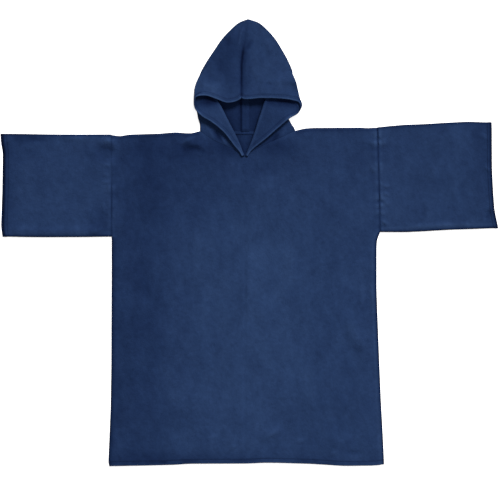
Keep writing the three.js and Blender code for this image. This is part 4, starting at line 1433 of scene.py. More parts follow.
@dataclass
class HoodHalf:
    """Half of the hood: one piece from the seam down the back, round the side, to the mouth's hem."""

    side: Side
    rows: tuple[HoodRow, ...]
    outline: Outline
    relief: Relief
    place: Place
    flat: Pair = (0.285, 0.57)
    area: float = 0.1
    lapels: int = 5
    pleats: int = 4
    side_turn: float = 2.4
    tuck_turn: float = 2.5
    over_bow: float = 7
    under_sag: float = 0.2
    flat_share: float = 1.3
    v_clear: float = 2.4
    v_end: Pair = (7, -1.5)
    v_rise: float = 0.5
    crown: Pair = (10.5, 1339.8)
    crown_wide: float = 4.5
    crown_top: float = 10
    hem_band: float = 11.5
    sections: Table = Table(
        ("start", "end", "spans", "crowd"),
        (
            (0, 3, 20, 1), (3, 7, 12, 1), (7, 15, 32, 1), (15, 19, 12, 1), (19, 23, 30, 1),
            (23, 27, 12, 1), (27, 33, 62, 1.5),
        ),
    )
    row_steps: tuple[int, ...] = (12, 9, 12, 10, 10, 9, 9, 9, 9, 9, 26, 10, 9, 9, 9, 9, 8)
    creases: tuple[Crease, ...] = creased(
        ((-16, 1250), (-12, 1285), (-4, 1318), 5.5, 2.2, 0.25),
        ((26, 1276), (16, 1262), (2, 1240), 6, -2.2, 0.3),
        ((-1, 1250), (0, 1220), (-2, 1190), 6, -1.4, 0.3),
        ((4, 1236), (6, 1180), (4, 1140), 7, 1.2, 0.2),
        ((-60, 1225), (-72, 1195), (-78, 1165), 13, -1.4),
        ((-112, 1180), (-96, 1160), (-84, 1140), 10, -1.2),
        ((-130, 1150), (-110, 1136), (-70, 1128), 9, 1.4),
        ((60, 1150), (70, 1142), (84, 1146), 7, -1.4),
        ((90, 1160), (102, 1140), (112, 1122), 8, 1.4),
        ((56, 1290), (72, 1262), (84, 1236), 9, 1.0),
        ((20, 1200), (28, 1180), (30, 1160), 8, 0.9),
        ((-40, 1290), (-50, 1270), (-58, 1252), 8, -1.0),
    )
    ripples: tuple[Ripple, ...] = (Ripple(71, 30, 42, 1.3, 12), Ripple(73, 13, 18, 0.5, -9))
    # The first three darken the hood beside the seam over the top, as painted shade in its valley. The rest
    # are broad differences of tone.
    patches: tuple[NapAndShadePatch, ...] = nap_and_shade_patches(
        (-50, 1235, 62, 90, -0.3), (4, 1200, 16, 90, -0.2), (-20, 1130, 40, 60, -0.14),
        (-110, 1120, 40, 40, 0.1), (60, 1240, 60, 80, 0.04),
    )
    # Painted shadows inside the mouth, where the cloth over it keeps the light out.
    shadows: tuple[NapAndShadePatch, ...] = nap_and_shade_patches(
        (-124, 1100, 46, 32, -0.42), (-86, 1092, 44, 16, -0.34), (84, 1096, 70, 18, -0.3),
        (138, 1090, 40, 18, -0.2),
    )

    def stations(self) -> np.ndarray:
        """Space the columns over the sections of a row: back, turn, under, turn, wing, turn and over.

        Returns:
            Each column's station, from 0 at the back to the last one at the other edge.
        """
        parts = [np.array([0.0])]
        for start, end, spans, crowd in self.sections.rows:
            shares = np.linspace(0, 1, int(spans) + 1)[1:]
            parts.append(mix(start, end, 1 - (1 - shares) ** crowd))
        return np.concatenate(parts)

    def neck_row(self, s: np.ndarray) -> np.ndarray:
        """Shape the lowest row, which is sewn to the neck: along the back, round the side and down to the V.

        Args:
            s: The columns' stations.

        Returns:
            Points of the row.
        """
        table = FRONT_NECK[self.side]
        across, up = table.column("across"), table.column("up")
        line = self.outline.front_neck[self.side]
        out = float(self.side.value)

        def height(x: np.ndarray, y: np.ndarray) -> np.ndarray:
            """Give the height of the front's middle just below a point of the neckline."""
            return self.relief.mid(np.atleast_1d(x), np.atleast_1d(y) - 1)

        start = np.array([-9.0, 997.5, FLOOR_MID])
        corner = np.array([across[0], up[0]])
        radius = float(height(across[0], up[0])[0] - FLOOR_MID) / 2
        shares = share_within(s, BACK_END, SIDE_END)
        turn = half_turn(corner, np.array([out, 0]), FLOOR_MID + radius, radius, shares, radius)
        f = s[s < BACK_END] / BACK_END
        back = np.column_stack([mix(start[0], turn[0][0], f), np.zeros(len(f)), np.full(len(f), FLOOR_MID)])
        back[:, 1] = self.outline.back_neck.at(back[:, 0])
        before, v = np.array([across[-2], up[-2]]), np.array([across[-1], up[-1]])
        down = heading(before, v)
        nose = v - down * self.v_clear
        top = float(height(nose[0], nose[1])[0]) + self.tuck_turn
        shares = share_within(s, TUCK_START, TUCK_END)
        tuck = half_turn(nose, down, top, self.tuck_turn, shares, self.tuck_turn)
        stops = np.array([turn[-1][0], *across[1:-1], tuck[0][0]])
        seam_s = s[(s > SIDE_END) & (s < TUCK_START)]
        seam_x = np.interp(seam_s, [SIDE_END, 9, 11, 13, 14, TUCK_START], stops)
        seam_y = line.at(seam_x)
        seam = np.column_stack([seam_x, seam_y, height(seam_x, seam_y)])
        tip = nose + np.array([out * self.v_end[0], self.v_end[1]])
        edge = np.array([*tip, top + self.tuck_turn + self.v_rise])
        lapel = self.lapel(tuck[-1], edge, 0, s[s > TUCK_END])
        return np.concatenate([back, turn, seam, tuck, lapel])

    def lapel(self, start: np.ndarray, edge: np.ndarray, crowd: float, s: np.ndarray) -> np.ndarray:
        """Run the lapel from the tuck to the hem.

        Args:
            start: Where the tuck ends.
            edge: Where the hem is.
            crowd: How much closer to the hem its columns are, from 0 to 1.
            s: The columns' stations.

        Returns:
            Points of the lapel.
        """
        stations = [TUCK_END, TURN_START, TURN_END, ROW_END]
        shares = np.interp(s, stations, [0, mix(0.5, 0.8, crowd), mix(0.7, 0.9, crowd), 1])
        return mix(start, edge, shares[:, None])

    def to_tuck(self, row: HoodRow, level: SeamLevel, beyond: np.ndarray, s: np.ndarray) -> np.ndarray:
        """Shape the start of a row that has slack: the back, the turn at the side and the tuck.

        Args:
            row: The row.
            level: Its place on the seam down the back.
            beyond: Where the cloth goes after the tuck, seen from above.
            s: The columns' stations.

        Returns:
            Points up to the end of the tuck.
        """
        middle, side, tuck = (np.array(p[:2], dtype=float) for p in (level.back, row.side, row.tuck))
        out, wide = out_of(middle, side, tuck), self.side_turn
        shares = share_within(s, BACK_END, SIDE_END)
        side_turn = half_turn(side, out, FLOOR_MID + wide, wide, shares, wide)
        out, wide = out_of(side, tuck, beyond), self.tuck_turn
        shares = share_within(s, TUCK_START, TUCK_END)
        tuck_turn = half_turn(tuck, out, row.tuck[2], wide, shares, wide)
        start = np.array([*middle, FLOOR_MID])
        back = mix(start, side_turn[0], (s[s < BACK_END] / BACK_END)[:, None])
        f = share_within(s, SIDE_END, TUCK_START)[1:-1]
        under = mix(side_turn[-1], tuck_turn[0], f[:, None])
        under[:, 2] = mix(side_turn[-1][2], tuck_turn[0][2], f * f) - self.under_sag * 4 * f * (1 - f)
        return np.concatenate([back, side_turn, under, tuck_turn])

    def over(
        self, start: np.ndarray, edge: np.ndarray, bend: float, upright: bool, s: np.ndarray
    ) -> np.ndarray:
        """Run the cloth over the mouth, from the side to the edge, which it meets squarely where it bends.

        Args:
            start: Where the turn at the side ends.
            edge: Where the row ends.
            bend: How much it bends, seen from above, from 0 to 1.
            upright: Whether it rises evenly, as it does at the corner.
            s: The columns' stations.

        Returns:
            Points of the last section.
        """
        f = share_within(s, TURN_END, ROW_END)[1:]
        quarter = f * math.pi / 2
        bow = self.over_bow * bend * np.sin(2 * quarter)
        return np.column_stack(
            [
                mix(start[0], edge[0], mix(f, np.sin(quarter), bend)),
                mix(start[1], edge[1], mix(f, 1 - np.cos(quarter), bend)) + bow,
                mix(start[2], edge[2], f if upright else np.sin(quarter)),
            ]
        )

    def pleat_row(self, row: HoodRow, level: SeamLevel, upright: bool, s: np.ndarray) -> np.ndarray:
        """Shape a row whose slack is hidden under the cloth over the mouth, or stands up at the corner.

        Args:
            row: The row.
            level: Its place on the seam down the back.
            upright: Whether it is the row at the corner.
            s: The columns' stations.

        Returns:
            Points of the row.
        """
        nose, edge = np.array(row.turn[:2], dtype=float), np.array(row.edge, dtype=float)
        start = self.to_tuck(row, level, nose, s)
        forward = heading(np.array(row.tuck[:2], dtype=float), nose)
        shares = share_within(s, TURN_START, TURN_END) * (0.5 if upright else 1)
        turn = half_turn(nose, forward, row.turn[2], row.radius, shares, row.radius)
        f = share_within(s, TUCK_END, TURN_START)[1:-1]
        wing = mix(start[-1], turn[0], f[:, None])
        wing[:, 2] = mix(start[-1][2], turn[0][2], f * f)
        over = self.over(turn[-1], edge, 0 if upright else 1, upright, s)
        return np.concatenate([start, wing, turn, over])

    def tube_row(self, row: HoodRow, level: SeamLevel, s: np.ndarray) -> np.ndarray:
        """Shape a row above the mouth, where the hood is a tube with no slack.

        Args:
            row: The row.
            level: Its places on the seams down the back and over the top.
            s: The columns' stations.

        Returns:
            Points of the row.
        """
        start = np.array([*level.back, FLOOR_MID], dtype=float)
        edge = np.array(level.top, dtype=float)
        middle, nose = start[:2], np.array(row.side, dtype=float)
        radius = (row.side_top - FLOOR_MID) / 2
        wide = row.fold_wide or min(radius * self.flat_share, float(np.linalg.norm(nose - middle)) / 3)
        shares = share_within(s, BACK_END, TURN_END)
        turn = half_turn(nose, out_of(middle, nose, edge[:2]), FLOOR_MID + radius, radius, shares, wide)
        back = mix(start, turn[0], (s[s < BACK_END] / BACK_END)[:, None])
        return np.concatenate([back, turn, self.over(turn[-1], edge, row.bend, False, s)])

    def surface(self) -> tuple[np.ndarray, int, np.ndarray]:
        """Shape the middle of the cloth, with smooth rows between the ones in the table.

        Returns:
            Points by row and column, the first row that ends at the seam over the top, and the stations.
        """
        s = self.stations()
        made = [self.neck_row(s)]
        for i, (row, level) in enumerate(zip(self.rows, SEAM_LEVELS)):
            if i < self.lapels:
                edge = np.array(row.edge, dtype=float)
                start = self.to_tuck(row, level, edge[:2], s)
                lapel = self.lapel(start[-1], edge, i / (self.lapels - 1), s[s > TUCK_END])
                made.append(np.concatenate([start, lapel]))
            elif i <= self.lapels + self.pleats:
                made.append(self.pleat_row(row, level, i == self.lapels, s))
            else:
                made.append(self.tube_row(row, level, s))
        radius = (self.crown_top - FLOOR_MID) / 2
        nose = np.array([self.crown[0], self.crown[1] - HALF_CLOTH])
        up = np.array([0.0, 1.0])
        made.append(half_turn(nose, up, FLOOR_MID + radius, radius, s / ROW_END, self.crown_wide))
        places = [0.0]
        for i, steps in enumerate(self.row_steps):
            shares = np.linspace(0, 1, steps + 1)[1:]
            places += list(i + (shares**1.25 if steps > 20 else shares))
        surface = through_rows(np.array(made), np.array(places))
        first_top = sum(self.row_steps[: self.lapels + self.pleats + 2])
        half = self.side.value * JOIN
        back_line = [level.back for level in SEAM_LEVELS] + [self.crown]
        top_line = [level.top[:2] for level in SEAM_LEVELS if level.top] + [self.crown]
        surface[:, 0, 0] = np.interp(surface[:, 0, 1], *np.array(back_line, dtype=float).T[::-1]) + half
        surface[first_top:, -1, 0] = (
            np.interp(surface[first_top:, -1, 1], *np.array(top_line, dtype=float).T[::-1]) + half
        )
        surface[-1, :, 0] = self.crown[0] + half
        return surface, first_top, s

    def soften(self, surface: np.ndarray, s: np.ndarray) -> np.ndarray:
        """Add the cloth's own unevenness: creases over the mouth, and low ripples but at the seams.

        Args:
            surface: Points by row and column.
            s: The columns' stations.

        Returns:
            The same points with new heights.
        """
        x, y = surface[..., 0], surface[..., 1]
        rows = np.arange(len(surface))[:, None] / (len(surface) - 1)
        calm = ease(rows / 0.06) * ease((1 - rows) / 0.04)
        on_top = ease((s - 25.5) / 3)[None] * calm * ease((rows - 0.42) / 0.1)
        inside = bell(s - 11, 2.2)[None] * 0.35 + bell(s - 21, 1.6)[None] * 0.35
        height = sum(ripple.at(x, y) for ripple in self.ripples)
        crease = sum(crease.at(x, y) for crease in self.creases)
        moved = surface.copy()
        moved[..., 2] += (crease + height) * on_top + height * inside * calm * (1 - on_top)
        stand = bell(s - 10.5, 2.6)[None] * ease(rows / 0.02) * ease((0.32 - rows) / 0.1)
        moved[..., 2] += sum(pucker.at(x, y) for pucker in NECK_PUCKERS) * 1.5 * stand
        return moved

    def normals(self, surface: np.ndarray, first_top: int) -> np.ndarray:
        """Give the way that the outside of the cloth faces, kept in the seams' own planes at the seams.

        Args:
            surface: Points by row and column.
            first_top: The first row that ends at the seam over the top.

        Returns:
            Directions of length 1 by row and column.
        """
        rising = surface[1:, 1:] - surface[:-1, :-1]
        falling = surface[1:, :-1] - surface[:-1, 1:]
        facing = np.cross(rising, falling) * -self.side.value
        facing /= np.maximum(1e-9, np.linalg.norm(facing, axis=-1))[..., None]
        total = np.zeros(surface.shape)
        total[:-1, :-1] += facing
        total[1:, :-1] += facing
        total[:-1, 1:] += facing
        total[1:, 1:] += facing
        up = np.gradient(surface, axis=0)
        on = np.gradient(surface, axis=1)
        total[1:-1, 0] = np.stack([np.zeros(len(up) - 2), up[1:-1, 0, 2], -up[1:-1, 0, 1]], axis=-1)
        top = slice(first_top, -1)
        total[top, -1] = np.stack([np.zeros(len(up[top])), -up[top, -1, 2], up[top, -1, 1]], axis=-1)
        total[0, :, 1] = 0
        total[-1] = np.stack([np.zeros(on.shape[1]), on[-1, :, 2], -on[-1, :, 1]], axis=-1)
        return total / np.maximum(1e-9, np.linalg.norm(total, axis=-1))[..., None]

    def to_mouth(self, surface: np.ndarray, first_top: int, s: np.ndarray) -> np.ndarray:
        """Give how far each point is from the hem of the mouth, for the cloth beyond the tuck.

        Args:
            surface: Points by row and column.
            first_top: The first row that ends at the seam over the top.
            s: The columns' stations.

        Returns:
            Distances by row and column, large where it doesn't apply.
        """
        hem = surface[: first_top + 1, -1]
        away = np.full(surface.shape[:2], FAR)
        last = first_top + self.row_steps[self.lapels + self.pleats + 2] + 1
        columns = np.where(s > TUCK_END)[0]
        block = surface[:last, columns]
        nearest = np.full(block.shape[:2], 1e9)
        for a, b in zip(hem[:-1], hem[1:]):
            d = b - a
            f = np.clip(((block - a) @ d) / max(1e-9, float(d @ d)), 0, 1)
            nearest = np.minimum(nearest, np.linalg.norm(block - a - f[..., None] * d, axis=-1))
        away[:last, columns] = nearest
        return away

    def shell(self) -> tuple[Shell, np.ndarray, np.ndarray]:
        """Shape the cloth, half its thickness to each side of its middle.

        Returns:
            The cloth, and the line of the mouth's stitching with the way the cloth faces along it.
        """
        surface, first_top, s = self.surface()
        surface = self.soften(surface, s)
        normals = self.normals(surface, first_top)
        mouth = self.to_mouth(surface, first_top, s)
        nose, raised = hem_profile(mouth, self.hem_band, 0.2)
        rows = np.arange(len(surface))[:, None]
        seam = np.abs(surface[..., 0] - surface[:, :1, 0])
        seam = np.where(s[None] < 8, seam, FAR)
        top_seam = np.abs(surface[..., 0] - surface[:, -1:, 0])
        top_seam = np.where((s[None] > TURN_END) & (rows >= first_top), top_seam, FAR)
        neck = np.where(s[None] <= TUCK_START, np.linalg.norm(surface - surface[:1], axis=-1), FAR)
        seam_share = np.clip(1.15 - ease((surface[..., 1] - 1225) / 45), 0.2, 1)
        dip = 0.85 * (1 - quarter_round(seam / 4.5)) + 0.12 * (1 - quarter_round(neck / 4.5))
        over_top = 0.45 * (1 - quarter_round(top_seam / 5)) + 0.9 * (1 - ease(top_seam / 8))
        dip = dip + over_top * seam_share
        outer = surface + normals * (HALF_CLOTH * nose + raised - dip)[..., None]
        inner = surface - normals * (HALF_CLOTH * nose + np.maximum(raised, -0.5))[..., None]
        for grid in (outer, inner):
            grid[..., 2] = np.maximum(grid[..., 2], 0.0)
        x, y = surface[..., 0], surface[..., 1]
        # Painted shade and light: a glint along the mouth's hem, and painted shade in its groove and in the
        # seams' valleys.
        hem = hem_painted_shade(mouth, self.hem_band, 0.5) - 0.1 * bell(mouth - 7, 2.5)
        beside = 0.42 * bell(seam, 2.4) + 0.12 * bell(neck, 3) + 0.5 * bell(top_seam, 4.5) * seam_share
        outer_tone = 1 + hem - beside + nap_and_painted_shade(self.patches, x, y) * ease((s[None] - 22) / 4)
        # Painted shade where the cloth turns away from the light above.
        outer_tone = outer_tone * np.clip(1 - 1.8 * (1 - np.abs(normals[..., 2])), 0.25, 1)
        # Painted shadow on the hood's stand under the lapels, with the puckers' painted shading.
        stand = bell(s[None] - 11, 4) * (rows < 60)
        outer_tone = outer_tone * (1 - (0.3 if self.side is Side.LEFT else 0.45) * stand)
        outer_tone = outer_tone + 0.25 * sum(pucker.at(x, y) for pucker in NECK_PUCKERS) * stand
        # The creases' painted shading with the cloth's own mottling, over the mouth.
        creased = sum(crease.at(x, y) for crease in self.creases)
        mottled = sum(ripple.at(x, y) for ripple in self.relief.mottling)
        shown = np.clip(0.09 * creased, -0.35, 0.35) + mottled
        outer_tone = outer_tone + shown * ease((s[None] - 25) / 3)
        # Painted shade deep inside the hood, on the wing and beside the seam, with the painted shadows inside
        # the mouth.
        inside = ease((12.5 - s[None]) / 4) * ease((rows - 2) / 6)
        wing = 0.04 if self.side is Side.LEFT else 0.2
        inner_tone = 1 + hem - 0.4 * bell(seam, 5) - 0.48 * inside
        inner_tone = inner_tone - wing * (1 - inside) + nap_and_painted_shade(self.shadows, x, y) * (1 - inside)
        # A painted highlight along the edge of each tuck, and the lapels' painted shadows deep in the hood.
        fold = np.linalg.norm(surface - surface[:, [int(np.argmin(np.abs(s - 17)))]], axis=-1)
        inner_tone = inner_tone + 0.2 * bell(fold - 5, 3) * (s[None] > 17) * (rows < first_top)
        inner_tone = inner_tone * mix(1, painted_lapel_shadow(x, y), inside)
        line, facing = self.stitch_line(outer, normals, mouth, first_top)
        grids = [outer, inner, outer_tone, inner_tone]
        if self.side is Side.RIGHT:
            grids = [grid[:, ::-1] for grid in grids]
        return Shell(*grids), line, facing

    def stitch_line(
        self, outer: np.ndarray, normals: np.ndarray, mouth: np.ndarray, first_top: int
    ) -> tuple[np.ndarray, np.ndarray]:
        """Follow the mouth's hem where its distance from the edge is the band's width.

        Args:
            outer: The cloth's outer points.
            normals: The way it faces.
            mouth: How far each point is from the edge.
            first_top: The first row that ends at the seam over the top.

        Returns:
            The line, and the way the cloth faces along it.
        """
        line, facing = [], []
        for i in range(3, first_top + 30):
            outward = mouth[i, ::-1]
            beyond = np.where(outward > self.hem_band)[0]
            if i > first_top and outward[0] > self.hem_band or not len(beyond) or beyond[0] == 0:
                continue
            k = beyond[0]
            f = (self.hem_band - outward[k - 1]) / (outward[k] - outward[k - 1])
            here, there = -k, -k - 1
            way = mix(normals[i, here], normals[i, there], f)
            line.append(mix(outer[i, here], outer[i, there], f) + way * 0.2)
            facing.append(way)
        return np.array(line), np.array(facing)

    def build(self, cloth: bpy.types.Material, thread: bpy.types.Material) -> None:
        """Make the hood half and the stitching of its part of the mouth.

        Args:
            cloth: The towelling.
            thread: The sewing thread.
        """
        shell, line, facing = self.shell()
        name = f"hood_{self.side.label}"
        hood = dress(shell.make(f"{name}_cloth", self.place), cloth, (name,))
        stitching = f"mouth_{self.side.label}_stitching"
        stitches = StitchRun().make(stitching, self.place, line, facing, thread)


@dataclass
class SeamAllowances:
    """The raw edges inside the hood: one roll beside the seam down the back, and one along the nape."""

    place: Place
    back_wide: float = 26
    back_high: float = 2.6
    nape_wide: float = 7
    nape_high: float = 1.6
    base: float = 2.62
    shade: float = 0.62

    def roll(
        self, line: np.ndarray, beside: np.ndarray, wide: float, high: float, seed: int, dark: float = 0.62
    ) -> Shell:
        """Shape a flattened roll of cloth along a line.

        Args:
            line: Points of the line where the roll starts, seen from above.
            beside: The direction that it lies in from the line.
            wide: How wide it is.
            high: How high it is.
            seed: Picks its unevenness.
            dark: How much painted shade darkens it where it starts, at the seam.

        Returns:
            The roll.
        """
        shares = (1 - np.cos(np.linspace(0, 1, 21) * math.pi)) / 2
        uneven = Ripple(seed, 9, 14, 0.25).at(line[:, 0], line[:, 1])[:, None]
        ends = ease(np.minimum(np.arange(len(line)), np.arange(len(line))[::-1]) / 4)[:, None]
        out = line[:, None] + beside * (shares * wide)[None, :, None] * (1 + 0.06 * uneven[..., None])
        profile = quarter_round(shares / 0.42) * quarter_round((1 - shares) / 0.34)
        valley = 1 - 0.2 * bell(shares - 0.42, 0.12)
        top = self.base + 0.15 + (high * (1 + 0.35 * uneven)) * (profile * valley)[None] * ends
        flat = np.full(top.shape, self.base)
        # Painted shade: the whole roll darker by shade, as deep in the hood, and darker still at the seam and
        # at its far edge.
        kept = 1 - dark * bell(shares, 0.15) - 0.2 * bell(1 - shares, 0.12)
        tone = np.tile(self.shade * kept, (len(line), 1))
        outer, inner = (np.concatenate([out, height[..., None]], axis=-1) for height in (top, flat))
        return Shell(outer, inner, tone, tone)

    def build(self, cloth: bpy.types.Material) -> None:
        """Make both rolls.

        Args:
            cloth: The towelling.
        """
        up = np.linspace(1186, 1003, 90)
        down_back = np.column_stack([np.full(len(up), -10.6), up])
        across = np.linspace(-88, 92, 90)
        wander = Ripple(87, 34, 400, 1.3).at(across, np.full(len(across), 997.0))
        along_nape = np.column_stack([across, BACK_NECK.line("across", "up", 10).at(across) - 4 + wander])
        back = self.roll(down_back, np.array([1.0, 0.0]), self.back_wide, self.back_high, 81)
        nape = self.roll(along_nape, np.array([0.0, 1.0]), self.nape_wide, self.nape_high, 83, 0.3)
        nape.outer[..., 2] = np.minimum(nape.outer[..., 2], self.base + self.nape_high)
        for name, shell in (("back_seam_allowance", back), ("nape_seam_allowance", nape)):
            dress(shell.make(name, self.place), cloth)


class Value:
    """A number that changes over a surface: a socket, with the arithmetic of Math nodes."""

    def __init__(self, kit: "NodeKit", socket: bpy.types.NodeSocket) -> None:
        self.kit, self.socket = kit, socket

    def __add__(self, other: "Value | float") -> "Value":
        """Add."""
        return self.kit.math("ADD", self, other)

    __radd__ = __add__

    def __sub__(self, other: "Value | float") -> "Value":
        """Subtract."""
        return self.kit.math("SUBTRACT", self, other)

    def __rsub__(self, other: float) -> "Value":
        """Subtract from a number."""
        return self.kit.math("SUBTRACT", other, self)

    def __mul__(self, other: "Value | float") -> "Value":
        """Multiply."""
        return self.kit.math("MULTIPLY", self, other)

    __rmul__ = __mul__


class NodeKit:
    """Builds the nodes of one material."""

    def __init__(self, name: str) -> None:
        """Start a material with only its output and shader.

        Args:
            name: The material's name.
        """
        self.material = bpy.data.materials.new(name)
        self.material.use_nodes = True
        self.tree = self.material.node_tree
        self.shader = self.tree.nodes["Principled BSDF"]

    def feed(self, socket: bpy.types.NodeSocket, value: object) -> None:
        """Link a value or socket to a socket, or set it to a number, colour or vector.

        Args:
            socket: The socket that is fed.
            value: What it is fed with.
        """
        if isinstance(value, Value):
            self.tree.links.new(value.socket, socket)
        elif isinstance(value, bpy.types.NodeSocket):
            self.tree.links.new(value, socket)
        else:
            socket.default_value = value

    def dress_shader(self, **inputs: object) -> bpy.types.Material:
        """Feed the shader's sockets.

        Args:
            inputs: What feeds each, by its name with underscores for spaces.

        Returns:
            The material.
        """
        for name, value in inputs.items():
            self.feed(self.shader.inputs[name.replace("_", " ")], value)
        return self.material

    def node(
        self,
        kind: str,
        settings: dict[str, object] | None = None,
        inputs: dict[str | int, object] | None = None,
    ) -> bpy.types.Node:
        """Add a node.

        Args:
            kind: The node's type.
            settings: Its own settings, which are set first. "stops" are a ramp's, as places and colours.
            inputs: Values or links of its sockets, by name or number.

        Returns:
            The node.
        """
        made = self.tree.nodes.new(kind)
        for name, value in (settings or {}).items():
            if name == "stops":
                for element, (place, colour) in zip(made.color_ramp.elements, value):
                    element.position, element.color = place, colour
            else:
                setattr(made, name, value)
        for name, value in (inputs or {}).items():
            self.feed(made.inputs[name], value)
        return made

    def math(self, operation: str, *values: Value | float) -> Value:
        """Add a Math node for one operation on values and numbers."""
        made = self.node("ShaderNodeMath", {"operation": operation}, dict(enumerate(values)))
        return Value(self, made.outputs[0])

    def coordinates(self, scale: Triple = (1, 1, 1)) -> bpy.types.NodeSocket:
        """Give the piece's own coordinates in metres.

        Args:
            scale: How much they are stretched along each axis.

        Returns:
            Their socket.
        """
        source = self.node("ShaderNodeTexCoord").outputs["Object"]
        if scale == (1, 1, 1):
            return source
        return self.node("ShaderNodeMapping", {}, {"Vector": source, "Scale": scale}).outputs[0]

    def noise(self, scale: float, detail: float, rough: float = 0.5, stretch: Triple = (1, 1, 1)) -> Value:
        """Add soft noise over the piece.

        Args:
            scale: Features to the metre.
            detail: How many finer layers it has.
            rough: How strong the finer layers are.
            stretch: How it is stretched along each axis.

        Returns:
            The noise, from 0 to 1.
        """
        inputs = {"Vector": self.coordinates(stretch), "Scale": scale, "Detail": detail, "Roughness": rough}
        return Value(self, self.node("ShaderNodeTexNoise", {}, inputs).outputs["Fac"])

    def attribute(self, name: str) -> Value:
        """Give a number that is kept on the mesh's points."""
        return Value(self, self.node("ShaderNodeAttribute", {"attribute_name": name}).outputs["Fac"])

    def ramp(self, value: Value, low: float, high: float) -> Value:
        """Spread a value so that low becomes 0 and high becomes 1, limited to them."""
        inputs = {"Value": value, "From Min": low, "From Max": high}
        return Value(self, self.node("ShaderNodeMapRange", {"clamp": True}, inputs).outputs["Result"])

    def blend(
        self, share: Value | float, first: object, second: object, how: str = "MIX"
    ) -> bpy.types.NodeSocket:
        """Mix two colours.

        Args:
            share: How much of the second.
            first: The first colour, or its socket.
            second: The second colour, or its socket.
            how: The kind of mixing.

        Returns:
            The mixed colour's socket.
        """
        settings = {"data_type": "RGBA", "blend_type": how, "clamp_factor": False}
        return self.node("ShaderNodeMix", settings, {0: share, 6: first, 7: second}).outputs[2]

    def bump(
        self, height: Value, strength: float, distance: float, under: object = None
    ) -> bpy.types.NodeSocket:
        """Turn a height into a tilt of the surface.

        Args:
            height: The height, from 0 to 1.
            strength: How strong the tilt is.
            distance: How high 1 stands for, in metres.
            under: Another tilt that it lies on.

        Returns:
            The tilt's socket.
        """
        inputs = {"Height": height, "Strength": strength, "Distance": distance}
        if under is not None:
            inputs["Normal"] = under
        return self.node("ShaderNodeBump", {}, inputs).outputs["Normal"]


@dataclass(frozen=True)
class MicrofibreFinish:
    """Dyed microfibre towelling: short, dense loops brushed into a soft nap that shades a little lighter or
    darker with the way it lies."""

    deep: tuple[float, ...] = (0.0060, 0.0141, 0.0435, 1)
    bright: tuple[float, ...] = (0.0160, 0.0354, 0.0950, 1)
    shade_tint_powers: Triple = (1.35, 1.15, 0.85)
    sheen: float = 0.07
    sheen_tint: tuple[float, ...] = (0.14, 0.27, 0.62, 1)
    loops_to_the_metre: float = 520
    roughness: float = 0.86

    def material(self) -> bpy.types.Material:
        """Build the material.

        Returns:
            The towelling.
        """
        kit = NodeKit("navy_microfibre")
        loops = kit.node(
            "ShaderNodeTexVoronoi",
            {"feature": "SMOOTH_F1"},
            {"Vector": kit.coordinates(), "Scale": self.loops_to_the_metre, "Smoothness": 0.6},
        )
        loop_height = 1 - Value(kit, loops.outputs["Distance"])
        nap = kit.noise(900, 3, 0.6)
        lint = kit.noise(240, 4, 0.62)
        brushed = kit.ramp(kit.noise(26, 5, 0.55, (1.2, 0.55, 1)), 0.3, 0.7)
        patches = kit.ramp(kit.noise(9, 4, 0.55, (1, 0.75, 1)), 0.3, 0.7)
        small_patches = kit.ramp(kit.noise(80, 4, 0.62), 0.3, 0.7)
        share = 0.1 + 0.22 * brushed + 0.22 * patches + 0.28 * small_patches + 0.16 * lint + 0.1 * loop_height
        colour = kit.blend(share, self.deep, self.bright)
        # The tone kept on the points multiplies Base Color. It holds painted shade, shadows and highlights
        # along with the nap's own patches, and the powers make the painted shade bluer, as navy cloth looks
        # in shadow.
        tone = kit.math("MAXIMUM", kit.attribute("tone"), 0.2)
        channels = {i: kit.math("POWER", tone, power) for i, power in enumerate(self.shade_tint_powers)}
        shade = kit.node("ShaderNodeCombineColor", {}, channels).outputs[0]
        toned = kit.blend(1.0, colour, shade, "MULTIPLY")
        wrinkles = kit.bump(kit.noise(75, 5, 0.6, (1, 0.7, 1)), 0.75, 0.0028)
        piled = kit.bump(loop_height * 0.6 + nap * 0.5 + lint * 0.5, 0.5, 0.0011, wrinkles)
        return kit.dress_shader(
            Base_Color=toned,
            Roughness=self.roughness + 0.1 * nap,
            Normal=piled,
            Sheen_Weight=self.sheen,
            Sheen_Roughness=0.45,
            Sheen_Tint=self.sheen_tint,
            Specular_IOR_Level=0.04,
        )


@dataclass(frozen=True)
class ThreadFinish:
    """Navy polyester sewing thread, with a faint twist."""

    deep: tuple[float, ...] = (0.0050, 0.0120, 0.0400, 1)
    bright: tuple[float, ...] = (0.0120, 0.0280, 0.0820, 1)

    def material(self) -> bpy.types.Material:
        """Build the material.

        Returns:
            The thread.
        """
        kit = NodeKit("navy_thread")
        twist = kit.noise(1800, 2, 0.5)
        return kit.dress_shader(
            Base_Color=kit.blend(twist, self.deep, self.bright),
            Roughness=0.5 + 0.2 * twist,
            Normal=kit.bump(twist, 0.4, 0.0003),
            Specular_IOR_Level=0.12,
        )


@dataclass(frozen=True)
class FloorFinish:
    """A smooth white board with a faint glow, with the least unevenness of tone."""

    glow: float = 0.7
    white: tuple[float, ...] = (0.93, 0.93, 0.93, 1)
    off_white: tuple[float, ...] = (0.91, 0.91, 0.912, 1)

    def material(self) -> bpy.types.Material:
        """Build the material.

        Returns:
            The board.
        """
        kit = NodeKit("white_board")
        cloudy = kit.noise(2.5, 3)
        return kit.dress_shader(
            Base_Color=kit.blend(cloudy, self.off_white, self.white),
            Roughness=0.8 + 0.1 * cloudy,
            Specular_IOR_Level=0.1,
            Emission_Color=self.white,
            Emission_Strength=self.glow,
        )


